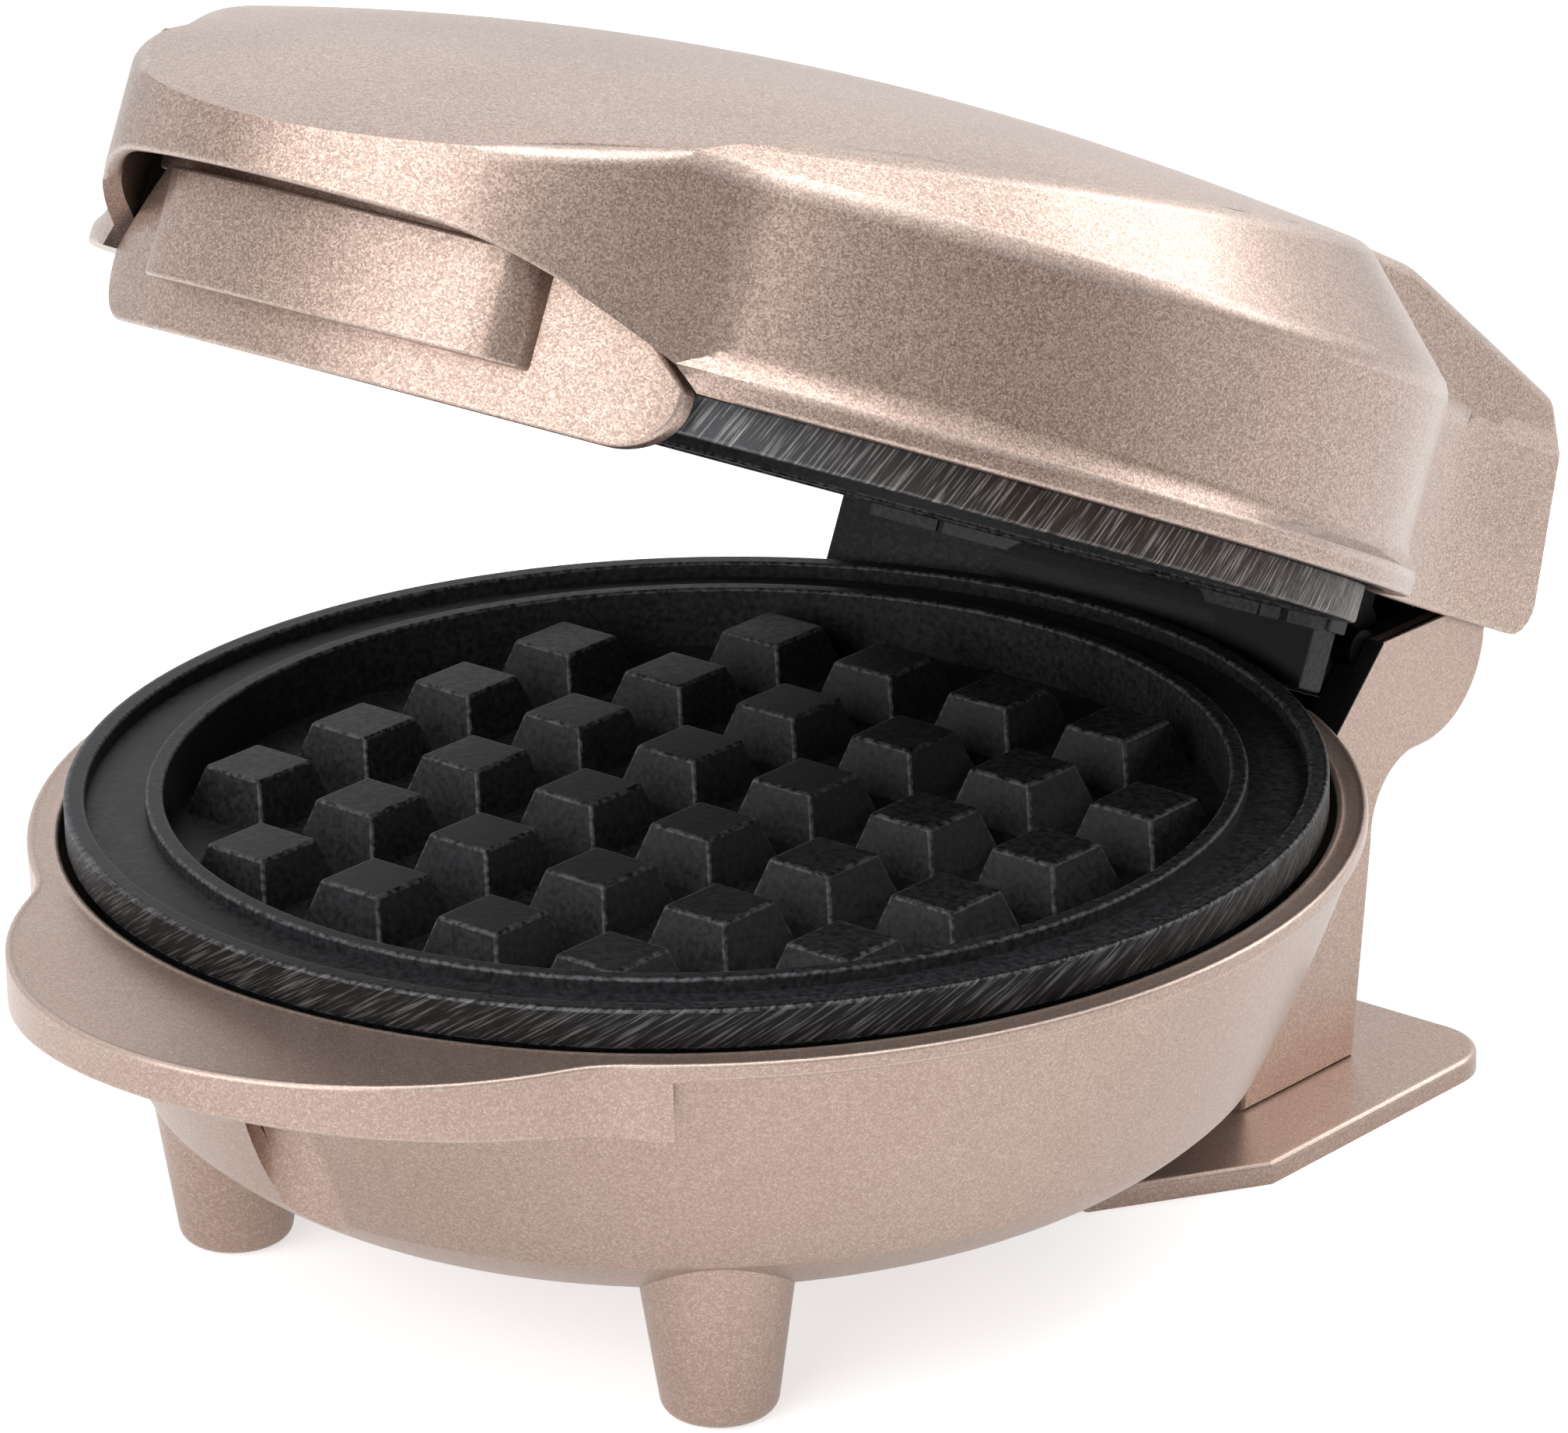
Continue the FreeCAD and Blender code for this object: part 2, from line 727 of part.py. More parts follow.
def make_base_housing():
    """Bowl, rim, tongue and front legs in one moulding, open at the back for the column."""
    body = new_body("base_housing")
    turn_rise = S.bowl_turn_z - S.bowl_floor_z
    turn_run = bowl_turn_radius - bowl_flat_radius
    turn_curve = (turn_run * turn_run + turn_rise * turn_rise) / (2 * turn_rise)
    tongue = body_sketch(body, "tongue", "XY_Plane", S.rim_z)
    draw_run(tongue, tongue_outline())
    add_pad(body, "tongue_slab", tongue, S.tongue_skirt, down=True)
    arch_top = S.rim_z - S.tongue_skirt_front
    arch_foot = arch_top - S.tongue_arch + other_leg(S.tongue_arch, rim_radius)
    arch = body_sketch(body, "tongue_arch", "XZ_Plane")
    draw_run(arch, [
        (-rim_radius, 0),
        (rim_radius, 0),
        (rim_radius, arch_foot, S.tongue_arch),
        (-rim_radius, arch_foot),
    ])
    add_pocket(body, "tongue_lower_edge", arch, 4 * rim_radius, both=True)
    outer = body_sketch(body, "outer", "XZ_Plane")
    draw_run(outer, [
        (0, S.bowl_floor_z),
        (bowl_flat_radius, S.bowl_floor_z, turn_curve),
        (bowl_turn_radius, S.bowl_turn_z, S.bowl_side_curve),
        (bowl_top_radius, rim_under_z),
        (rim_radius, rim_under_z),
        (rim_radius, S.rim_z),
        (0, S.rim_z),
    ])
    add_turn(body, "bowl", outer)
    leg_length = S.leg_top_z - S.leg_end_z
    leg_top_radius = S.leg_foot_radius + leg_length * tangent(S.leg_taper)
    legs = body_sketch(body, "legs", "XY_Plane", S.leg_top_z)
    for side in (-1, 1):
        draw_circle(legs, side * leg_x, -leg_y, leg_top_radius)
    leg_pad = add_pad(body, "front_legs", legs, leg_length, down=True, taper=-S.leg_taper)
    rounded = body.newObject("PartDesign::Fillet", "base_housing_leg_rounds")
    rounded.Base = (leg_pad, flat_edges(leg_pad.Shape, S.leg_end_z.value))
    bind(rounded, "Radius", S.leg_round)
    doc.recompute()
    wall = S.housing_wall
    inner_scale = (turn_curve - wall) / turn_curve
    turn_centre_z = S.bowl_floor_z + turn_curve
    inner = body_sketch(body, "inner", "XZ_Plane")
    draw_run(inner, [
        (0, S.bowl_floor_z + wall),
        (bowl_flat_radius, S.bowl_floor_z + wall, turn_curve - wall),
        (bowl_flat_radius + turn_run * inner_scale,
         turn_centre_z + (S.bowl_turn_z - turn_centre_z) * inner_scale, S.bowl_side_curve - wall),
        (bowl_top_radius - wall, rim_under_z),
        (rim_opening, rim_under_z),
        (rim_opening, S.rim_z + 1),
        (0, S.rim_z + 1),
    ])
    add_groove(body, "cavity", inner)
    back = body_sketch(body, "back", "YZ_Plane")
    draw_run(back, [
        (column_front_y, 0),
        (FAR, 0),
        (FAR, S.rim_z + 1),
        (S.plate_radius - S.rim_cut, S.rim_z + 1),
        (S.plate_radius - S.rim_cut, cheek_foot_z),
        (column_step_y, cheek_foot_z),
        (column_step_y, S.column_step_z),
        (column_front_y, S.column_step_z),
    ])
    add_pocket(body, "column_seat", back, 2 * S.column_half, both=True)
    skirt_radius = S.tongue_radius - wall
    hollow_y = (rim_radius * rim_radius - skirt_radius * skirt_radius + tongue_y * tongue_y) \
        / (2 * tongue_y)
    hollow_x = other_leg(rim_radius, hollow_y)
    hollow = body_sketch(body, "tongue_hollow", "XY_Plane", S.rim_z - S.tongue_sheet)
    draw_run(hollow, [
        (-hollow_x, hollow_y, skirt_radius),
        (hollow_x, hollow_y, -rim_radius),
    ])
    add_pocket(body, "tongue_underside", hollow, S.tongue_skirt)
    liner_back = S.notch_radius + S.notch_liner - notch_y
    liner_top = S.notch_roof_z + S.notch_liner
    liner = body_sketch(body, "liner", "YZ_Plane")
    draw_run(liner, [
        (wall / 2 - bowl_turn_radius, S.bowl_turn_z),
        (liner_back, S.bowl_turn_z),
        (liner_back, liner_top),
        (wall - bowl_top_radius + S.rim_land, liner_top),
    ])
    add_pad(body, "notch_liner", liner, 2 * (S.notch_radius + S.notch_liner), both=True)
    notch = body_sketch(body, "notch", "XY_Plane", S.notch_roof_z)
    draw_circle(notch, 0, -notch_y, S.notch_radius)
    add_pocket(body, "finger_notch", notch, S.notch_roof_z - S.bowl_floor_z)
    bosses = body_sketch(body, "bosses", "XY_Plane", lower_shield_z)
    for x, y in boss_places:
        draw_circle(bosses, x, y, S.housing_boss_radius)
    add_pad(body, "screw_bosses", bosses, lower_shield_z - S.bowl_floor_z - wall / 2, down=True)
    bores = body_sketch(body, "bores", "XY_Plane", lower_shield_z)
    for x, y in boss_places:
        draw_circle(bores, x, y, screw_hole)
    add_pocket(body, "screw_bores", bores, lower_shield_z)
    wells = body_sketch(body, "wells", "XY_Plane", S.screw_seat_z)
    for x, y in boss_places:
        draw_circle(wells, x, y, head_hole)
    add_pocket(body, "screw_wells", wells, S.screw_seat_z)
    seats = body_sketch(body, "pad_seats", "XY_Plane", S.foot_pad_depth)
    for side in (-1, 1):
        draw_circle(seats, side * leg_x, -leg_y, S.foot_pad_radius)
    add_pocket(body, "pad_recesses", seats, S.foot_pad_depth)
    return body


def flat_edges(shape, z):
    """Names of the edges that lie at one height."""
    names = []
    for index, edge in enumerate(shape.Edges, start=1):
        if abs(edge.BoundBox.ZMin - z) < 1e-4 and abs(edge.BoundBox.ZMax - z) < 1e-4:
            names.append(f"Edge{index}")
    return names


def make_hinge_column():
    """Column behind the bowl: two hinge cheeks and a back wall, open in front and below."""
    body = new_body("hinge_column")
    foot_z = S.foot_plate_thick
    cheek_back_y = hinge_y + S.cheek_back
    cheek_under_y = column_back_y + S.column_cove
    slant_y = hinge_y + S.cheek_crown
    profile = body_sketch(body, "profile", "YZ_Plane")
    draw_run(profile, [
        (column_front_y, foot_z),
        (column_foot_y, foot_z),
        (column_back_y, S.column_back_z, -S.column_cove),
        (cheek_under_y, S.cheek_under_z),
        (cheek_back_y - S.cheek_round, S.cheek_under_z, S.cheek_round),
        (cheek_back_y, S.cheek_under_z + S.cheek_round),
        (cheek_back_y, S.cheek_top_z),
        (slant_y, S.cheek_top_z),
        (slant_y - S.cheek_slant_run, cheek_foot_z),
        (column_step_y, cheek_foot_z),
        (column_step_y, S.column_step_z),
        (column_front_y, S.column_step_z),
    ])
    add_pad(body, "block", profile, 2 * S.column_half, both=True)
    tray_z = S.column_step_z - S.tray_thick
    back_slope = (column_back_y - column_foot_y) / (S.column_back_z - foot_z)
    well_back_foot = column_foot_y - S.column_wall
    well_back_top = well_back_foot + back_slope * (tray_z - foot_z)
    well = body_sketch(body, "well", "YZ_Plane")
    draw_run(well, [
        (0, 0),
        (well_back_foot - back_slope * foot_z, 0),
        (well_back_top, tray_z),
        (0, tray_z),
    ])
    add_pocket(body, "wire_well", well, 2 * (cheek_inner - S.column_ledge), both=True)
    trough = body_sketch(body, "trough", "YZ_Plane")
    draw_run(trough, [
        (trough_front, tray_z),
        (well_back_top, tray_z),
        (well_back_top, S.cheek_under_z),
        (FAR, S.cheek_under_z),
        (FAR, FAR),
        (trough_front, FAR),
    ])
    add_pocket(body, "hinge_trough", trough, 2 * cheek_inner, both=True)
    under = body_sketch(body, "under", "YZ_Plane")
    draw_run(under, rectangle(cheek_under_y - S.column_wall, 0, FAR, FAR))
    add_pocket(body, "back_opening", under, 2 * cheek_inner, both=True)
    seats = body_sketch(body, "pin_seats", "YZ_Plane")
    draw_circle(seats, hinge_y, S.hinge_z, S.hinge_pin_radius + S.pin_seat_clear)
    add_pocket(body, "pin_bores", seats, 2 * (cheek_inner + S.pin_seat_depth), both=True)
    hole = body_sketch(body, "cord_hole", "XZ_Plane")
    draw_circle(hole, 0, S.gland_z, S.gland_hole)
    add_pocket(body, "cord_bore", hole, FAR, up=False)
    screws = body_sketch(body, "screw_holes", "XY_Plane", foot_z)
    for x, y in foot_screw_places():
        draw_circle(screws, x, y, screw_hole)
    add_pocket(body, "foot_screw_holes", screws, S.lid_screw_bite + S.screw_clear, up=True)
    return body


def foot_screw_places():
    """Screws that hold the foot plate go up into the column's thick cheeks."""
    x = S.column_half - S.cheek / 2
    front = column_front_y + S.screw_head_radius + S.head_clear
    back = column_foot_y - S.screw_head_radius - S.head_clear
    return [(side * x, y) for side in (-1, 1) for y in (front, back)]


def make_foot_plate():
    """Flat rear foot that is also the flange for wrapping the cord."""
    body = new_body("rear_foot_plate")
    half = S.foot_plate_half
    corner = S.foot_plate_corner
    outline = body_sketch(body, "outline", "XY_Plane")
    draw_run(outline, [
        (-S.foot_plate_front_half, foot_plate_front_y),
        (S.foot_plate_front_half, foot_plate_front_y),
        (half, foot_plate_wide_y),
        (half, foot_plate_back_y - corner, corner),
        (half - corner, foot_plate_back_y),
        (corner - half, foot_plate_back_y, corner),
        (-half, foot_plate_back_y - corner),
        (-half, foot_plate_wide_y),
    ])
    add_pad(body, "plate", outline, S.foot_plate_thick)
    holes = body_sketch(body, "holes", "XY_Plane", S.foot_plate_thick)
    for x, y in foot_screw_places():
        draw_circle(holes, x, y, screw_hole)
    add_pocket(body, "screw_holes", holes, 2 * S.foot_plate_thick)
    wells = body_sketch(body, "wells", "XY_Plane", S.screw_head + S.screw_clear)
    for x, y in foot_screw_places():
        draw_circle(wells, x, y, head_hole)
    add_pocket(body, "screw_wells", wells, 2 * S.foot_plate_thick)
    return body


def make_hinge_block():
    """Hinge barrel and its web, as wide as the column in front and between the cheeks behind."""
    body = new_body("hinge_block")
    half = hinge_block_half
    wide = S.column_half - S.hinge_block_gap
    front = other_leg(hinge_block_radius, wide)
    wing_back = hinge_y - S.hinge_wing_back
    back = hinge_y + S.hinge_block_back
    foot_z = cheek_foot_z + S.hinge_block_lift
    web = body_sketch(body, "web", "XY_Plane", foot_z)
    draw_run(web, [
        (wide, front, hinge_block_radius),
        (-wide, front),
        (-wide, wing_back),
        (-half, wing_back),
        (-half, back),
        (half, back),
        (half, wing_back),
        (wide, wing_back),
    ])
    add_pad(body, "web_pad", web, hinge_block_top - foot_z)
    barrel = body_sketch(body, "barrel", "YZ_Plane")
    draw_circle(barrel, hinge_y, S.hinge_z, S.hinge_barrel)
    add_pad(body, "barrel_pad", barrel, 2 * half, both=True)
    bore = body_sketch(body, "bore", "YZ_Plane")
    draw_circle(bore, hinge_y, S.hinge_z, S.hinge_pin_radius + S.hinge_pin_clear)
    add_pocket(body, "pin_bore", bore, 2 * half + 2, both=True)
    well = body_sketch(body, "well", "XY_Plane", hinge_block_top)
    well_half = S.hinge_block_well_half
    well_front = S.plate_radius + S.hinge_block_well_wall + S.hinge_block_gap
    draw_run(well, rectangle(-well_half, well_front, well_half, back - S.hinge_block_well_wall))
    add_pocket(body, "lead_well", well, hinge_block_top - S.hinge_z - S.hinge_block_well_floor)
    holes = body_sketch(body, "holes", "XY_Plane", hinge_block_top)
    for x, y in hinge_screw_places:
        draw_circle(holes, x, y, screw_hole)
    add_pocket(body, "screw_holes", holes, FAR)
    wells = body_sketch(body, "wells", "XY_Plane", hinge_block_top - S.lid_screw_bite)
    for x, y in hinge_screw_places:
        draw_circle(wells, x, y, head_hole)
    add_pocket(body, "screw_wells", wells, FAR)
    return body


def lid_form(name, inset, drop):
    """Outer form of the lid, or with an inset its hollow: round body, nose and rear block under a dome."""
    foot_z = lid_edge_z - drop
    roof_z = dome_z + 10
    wall_radius = lid_wall_radius - inset
    bevel_run = (roof_z - bevel_z) / tangent(S.bevel_slope)
    if inset.value > 0:
        skirt = [(wall_radius, foot_z)]
    else:
        lip_z = lid_edge_z + S.lid_lip
        skirt = [
            (lid_lip_radius, foot_z),
            (lid_lip_radius, lip_z, -2 * S.lid_cove),
            (wall_radius, lip_z + S.lid_cove),
        ]
    profile = free_sketch(f"{name}_profile", "XZ", [
        (0, foot_z),
        *skirt,
        (wall_radius, bevel_z - inset / 2),
        (wall_radius - bevel_run, roof_z - inset / 2),
        (0, roof_z - inset / 2),
    ])
    body = turned(f"{name}_round", profile)
    nose = lid_nose(f"{name}_nose", inset, foot_z)
    half = block_half - inset
    back_foot = block_back - inset
    lean = tangent(S.block_lean)
    shoulder_run = (roof_z - bevel_z) / tangent(S.block_bevel)
    section = free_sketch(f"{name}_block_section", "XZ", [
        (-half, foot_z),
        (half, foot_z),
        (half, bevel_z - inset / 2),
        (half - shoulder_run, roof_z - inset / 2),
        (shoulder_run - half, roof_z - inset / 2),
        (-half, bevel_z - inset / 2),
    ])
    block_run = extruded(f"{name}_block_run", section, 0, FAR)
    side = free_sketch(f"{name}_block_side", "YZ", [
        (0, foot_z),
        (back_foot + lean * drop, foot_z),
        (back_foot - lean * (roof_z - lid_edge_z), roof_z),
        (0, roof_z),
    ])
    block_side = extruded(f"{name}_block_depth", side, FAR, FAR)
    block = shared(f"{name}_block", [block_run, block_side, block_roof(f"{name}_block_roof", inset)])
    blends = lid_blends(name, inset)
    whole = fused(f"{name}_whole", [body, *nose, block, *blends])
    return shared(name, [whole, dome(f"{name}_dome", inset)])


def lid_nose(name, inset, foot_z):
    """Round nose over the handle, bevelled like the rest of the wall where the roof is high enough."""
    radius = S.tongue_radius - inset
    bevel_foot = bevel_z - inset / 2
    rise = dome_z + 10 - bevel_foot
    drum = cylinder(f"{name}_drum", 0, tongue_y, foot_z, radius, bevel_foot - foot_z)
    run = rise / tangent(S.bevel_slope)
    return [drum, cone(f"{name}_crown", 0, tongue_y, bevel_foot, radius, radius - run, rise)]


def lid_blends(name, inset):
    """Hollow blends from the round wall into the nose in front and into the rear block."""
    half = block_half - inset
    wall_radius = lid_wall_radius - inset
    fillet = S.tongue_fillet + inset
    centre, on_rim, on_nose = nose_blend(wall_radius, S.tongue_radius - inset, fillet)
    hollow = S.block_fillet + inset
    block_x = half + hollow
    block_y = other_leg(wall_radius + hollow, block_x)
    inside_x = half - 3 * S.lid_wall
    nose_plan = [centre, (0, tongue_y), (0, 0)]
    block_plan = [(block_x, block_y), (inside_x, block_y), (inside_x, inside_x * block_y / block_x)]
    blends = []
    for index, side in enumerate((-1, 1)):
        blends.append(blend(f"{name}_nose_blend_{index}", side, fillet, inset, nose_plan))
        blends.append(blend(f"{name}_block_blend_{index}", side, hollow, inset, block_plan))
    return blends


def blend(name, side, hollow, inset, corners):
    """Wedge on three plan corners, cut round the first by a shaft that flares above the bevel."""
    roof_z = dome_z + 10
    bevel_foot = bevel_z - inset / 2
    plan = [(side * x, y) for x, y in corners]
    wedge = extruded(f"{name}_wedge", free_sketch(f"{name}_plan", "XY", plan), roof_z, -lid_edge_z)
    x, y = plan[0]
    rise = roof_z + 1 - bevel_foot
    shaft = cylinder(f"{name}_shaft", x, y, lid_edge_z - 1, hollow, bevel_foot - lid_edge_z + 1)
    flare = cone(f"{name}_flare", x, y, bevel_foot, hollow, hollow + rise / tangent(S.bevel_slope), rise)
    return cut(name, wedge, fused(f"{name}_tool", [shaft, flare]))


def block_roof(name, inset):
    """Round-backed roof of the rear block, sloping down to the back."""
    slope = S.block_roof_slope
    radius = S.block_roof_radius - inset
    reach = S.plate_radius
    axis_y = hinge_y - S.block_roof_ahead - S.block_roof_radius * sine(slope)
    axis_z = lid_edge_z + S.block_roof_rise - S.block_roof_radius * cosine(slope)
    start_y = axis_y - reach * cosine(slope)
    solid = cylinder(name, 0, start_y, axis_z + reach * sine(slope), radius, 4 * reach)
    solid.Placement.Rotation = FreeCAD.Rotation(FreeCAD.Vector(-1, 0, 0), 90)
    bind(solid, "Placement.Rotation.Angle", 90 + slope)
    return solid


def dome(name, inset):
    """Barrel-shaped roof: a flat arc across the lid, turned about a low axis ahead and a far one behind."""
    ahead = dome_run(f"{name}_ahead", inset, S.dome_radius, FreeCAD.Vector(1, 0, 0), 50)
    behind = dome_run(f"{name}_behind", inset, S.dome_back_radius, FreeCAD.Vector(-1, 0, 0), 8)
    return fused(name, [ahead, behind])


def dome_run(name, inset, radius, axis, angle):
    span = rim_radius + S.tongue_fillet
    crown = dome_z - inset
    cross = S.dome_cross_radius - inset
    shoulder = crown - cross + other_leg(cross, span)
    profile = free_sketch(f"{name}_profile", "XZ", [
        (-span, 0),
        (span, 0),
        (span, shoulder, cross),
        (0, crown, cross),
        (-span, shoulder),
    ])
    bind(profile, "Placement.Base.y", S.dome_y)
    solid = doc.addObject("Part::Revolution", name)
    solid.Source = profile
    solid.Axis = axis
    bind(solid, "Base.y", S.dome_y)
    bind(solid, "Base.z", dome_z - radius)
    solid.Angle = angle
    solid.Solid = True
    return solid


def make_lid_housing():
    """Lid shell with the arched opening above the handle and the bosses that hold the inner parts."""
    outer = lid_form("lid_outer", as_size(0), as_size(0))
    inner = lid_form("lid_inner", S.lid_wall, as_size(1))
    shell = cut("lid_shell", outer, inner)
    shoulder = S.arch_shoulder
    arch_bow = S.arch_rise - S.arch_side_rise
    arch_crown = (shoulder * shoulder + arch_bow * arch_bow) / (2 * arch_bow)
    arch = free_sketch("lid_arch_outline", "XZ", [
        (-S.arch_half, lid_edge_z - 1),
        (S.arch_half, lid_edge_z - 1),
        (S.arch_half, lid_edge_z, S.arch_side_radius),
        (shoulder, lid_edge_z + S.arch_side_rise, arch_crown),
        (0, lid_edge_z + S.arch_rise, arch_crown),
        (-shoulder, lid_edge_z + S.arch_side_rise, S.arch_side_radius),
        (-S.arch_half, lid_edge_z),
    ])
    arch_cut = extruded("lid_arch", arch, FAR, 0)
    posts = []
    holes = []
    seats = [(place, lug_top) for place in lug_places]
    seats += [(place, upper_shield_top) for place in shield_screw_places]
    seats += [(place, hinge_block_top) for place in hinge_screw_places]
    for index, ((x, y), seat_z) in enumerate(seats):
        posts.append(cylinder(f"lid_post_{index}", x, y, seat_z, S.lid_boss_radius, FAR))
        depth = S.lid_screw_bite + S.screw_clear
        holes.append(cylinder(f"lid_post_hole_{index}", x, y, seat_z - 1, screw_hole, depth + 1))
    bosses = shared("lid_bosses", [fused("lid_posts", posts), outer])
    opened = cut("lid_opened", shell, arch_cut)
    return cut("lid_housing", fused("lid_with_bosses", [opened, bosses]), fused("lid_post_holes", holes))


def make_handle_tab():
    """Front wall under the visor, with the raised grip on its face and two lugs behind it."""
    foot_z = S.rim_z + S.tab_clear
    top_z = S.seam_z + S.tab_top
    half = S.tab_half
    corner = S.tab_corner
    tab_outline = free_sketch("tab_outline", "XZ", [
        (corner - half, foot_z),
        (half - corner, foot_z, corner),
        (half, foot_z + corner),
        (half, lid_edge_z),
        (S.grip_half, top_z),
        (-S.grip_half, top_z),
        (-half, lid_edge_z),
        (-half, foot_z + corner, corner),
    ])
    tab_run = extruded("tab_run", tab_outline, FAR, 0)
    wall_in = tab_radius - S.tab_thick
    tab_ring = ring("tab_ring", wall_in, tab_radius, foot_z, top_z)
    wall = shared("tab_wall", [tab_run, tab_ring])
    grip_foot = S.seam_z + S.grip_foot
    grip_top = S.seam_z + S.grip_top
    grip_run = box("grip_run", -S.grip_half, -FAR, grip_foot, 2 * S.grip_half, FAR, grip_top - grip_foot)
    grip_in = tab_radius - S.tab_thick / 2
    grip_ring = ring("grip_ring", grip_in, tab_radius + S.grip_proud, grip_foot, grip_top)
    grip = shared("tab_grip", [grip_run, grip_ring])
    lugs = []
    lug_z = S.seam_z + S.lug_z
    for index, (x, y) in enumerate(lug_places):
        eye = cylinder(f"lug_eye_{index}", x, y, lug_z, S.lug_radius, S.lug_thick)
        arm = box(f"lug_arm_{index}", x - S.lug_radius, y - S.lug_radius * 2, lug_z,
                  2 * S.lug_radius, S.lug_radius * 2, S.lug_thick)
        lugs += [eye, arm]
    inside = cylinder("lug_limit", 0, 0, lug_z, tab_radius - S.tab_thick / 2, S.lug_thick)
    lug_pair = shared("tab_lugs", [fused("lug_pieces", lugs), inside])
    holes = [cylinder(f"lug_hole_{i}", x, y, lug_z - 1, screw_hole, S.lug_thick + 2)
             for i, (x, y) in enumerate(lug_places)]
    return cut("handle_tab", fused("tab_solid", [wall, grip, lug_pair]), fused("lug_holes", holes))


def ring(name, inner, outer, z0, z1):
    return cut(name, cylinder(f"{name}_out", 0, 0, z0, outer, z1 - z0),
               cylinder(f"{name}_in", 0, 0, z0, inner, z1 - z0))


def make_mains_lead(start_y, start_z, end_y):
    """Supply lead from the terminal block down to the gland."""
    bend = S.lead_bend
    drop_y = start_y + S.lead_run + bend
    path = free_sketch("mains_lead_path", "YZ", [
        (start_y, start_z),
        (drop_y - bend, start_z, -bend),
        (drop_y, start_z - bend),
        (drop_y, S.gland_z + bend, bend),
        (drop_y + bend, S.gland_z),
        (end_y, S.gland_z),
    ], closed=False)
    section = doc.addObject("Sketcher::SketchObject", "mains_lead_section")
    section.Placement = FreeCAD.Placement(FreeCAD.Vector(), PLANES["XZ"])
    bind(section, "Placement.Base.y", start_y)
    draw_circle(section, 0, start_z, S.lead_radius)
    lead = doc.addObject("Part::Sweep", "mains_lead")
    lead.Sections = [section]
    doc.recompute()
    lead.Spine = (path, [f"Edge{i}" for i in range(1, len(path.Shape.Edges) + 1)])
    lead.Solid = True
    return lead


# Base pieces
on_base(make_base_housing(), "base_housing")
on_base(make_hinge_column(), "hinge_column")
on_base(make_foot_plate(), "rear_foot_plate")
plate_casting = make_lower_plate()
on_base(group("lower_plate", [plate_casting]), "lower_plate")
on_base(make_shield("lower_heat_shield", lower_shield_z, True, boss_places, element_pin_places),
        "lower_heat_shield")
lower_element_z = plate_back_z - S.element_tube - S.element_seat
on_base(make_element("lower_element", lower_element_z), "lower_element")
lower_pin_top = lower_element_z - S.element_tube - S.element_seat
terminal_top = lower_shield_z
on_base(group("lower_element_pins", [
    cylinder(f"lower_pin_{i}", x, y, terminal_top, S.element_pin_radius, lower_pin_top - terminal_top)
    for i, (x, y) in enumerate(element_pin_places)]), "lower_element_pins")
terminal_y = element_pin_places[0][1] - S.terminal_depth / 2
on_base(group("terminal_block", [
    box("terminal_body", -S.terminal_width / 2, terminal_y, terminal_top - S.terminal_height,
        S.terminal_width, S.terminal_depth, S.terminal_height)]), "terminal_block")
on_base(group("thermostat", [
    cylinder("thermostat_can", 0, S.thermostat_y, lower_shield_top, S.thermostat_radius,
             plate_back_z - lower_shield_top)]), "thermostat")
on_base(screw_group("lower_plate_screws", boss_places, S.screw_seat_z,
                    lower_shield_top + S.plate_screw_bite - S.screw_seat_z), "lower_plate_screws")
on_base(screw_group("foot_plate_screws", foot_screw_places(), S.screw_head + S.screw_clear,
                    S.foot_plate_thick - S.screw_head - S.screw_clear + S.lid_screw_bite),
        "foot_plate_screws")
on_base(group("foot_pads", [
    cylinder(f"foot_pad_{i}", side * leg_x, -leg_y, 0, S.foot_pad_radius, S.foot_pad_depth)
    for i, side in enumerate((-1, 1))]), "foot_pads")
pin_half = cheek_inner + S.pin_seat_depth - S.pin_end_gap
pin_rod = cylinder("hinge_pin_rod", -pin_half, hinge_y, S.hinge_z, S.hinge_pin_radius, 2 * pin_half)
pin_rod.Placement.Rotation = FreeCAD.Rotation(FreeCAD.Vector(0, 1, 0), 90)
on_base(group("hinge_pin", [pin_rod]), "hinge_pin")
tray_half = cheek_inner - S.tray_gap
tray_z = S.column_step_z - S.tray_thick
back_slope = (column_back_y - column_foot_y) / (S.column_back_z - S.foot_plate_thick)
tray_back = column_foot_y - S.column_wall + back_slope * (tray_z - S.foot_plate_thick)
on_base(group("hinge_tray", [
    box("tray_sheet", -tray_half, trough_front, tray_z,
        2 * tray_half, tray_back - trough_front, S.tray_thick)]), "hinge_tray")

gland_wall_y = column_foot_y + back_slope * (S.gland_z + S.gland_flange - S.foot_plate_thick)
gland_in_y = column_foot_y - S.column_wall - 2 * S.gland_flange_thick
gland_tube = S.gland_hole - S.gland_clear
gland_out_y = gland_wall_y + S.gland_flange_thick
gland_body = cylinder("gland_body", 0, gland_out_y, S.gland_z, gland_tube, gland_out_y - gland_in_y)
gland_flange = cylinder("gland_rim", 0, gland_out_y, S.gland_z, S.gland_flange, S.gland_flange_thick)
gland_bore = cylinder("gland_bore", 0, gland_out_y, S.gland_z, S.lead_radius + S.gland_clear, FAR)
for piece in (gland_body, gland_flange, gland_bore):
    piece.Placement.Rotation = FreeCAD.Rotation(FreeCAD.Vector(1, 0, 0), 90)
on_base(cut("cord_gland", fused("gland_solid", [gland_body, gland_flange]), gland_bore), "cord_gland")
lead_z = terminal_top - S.terminal_height + S.lead_radius + S.tray_gap
on_base(make_mains_lead(terminal_y + S.terminal_depth, lead_z, gland_out_y), "mains_lead")

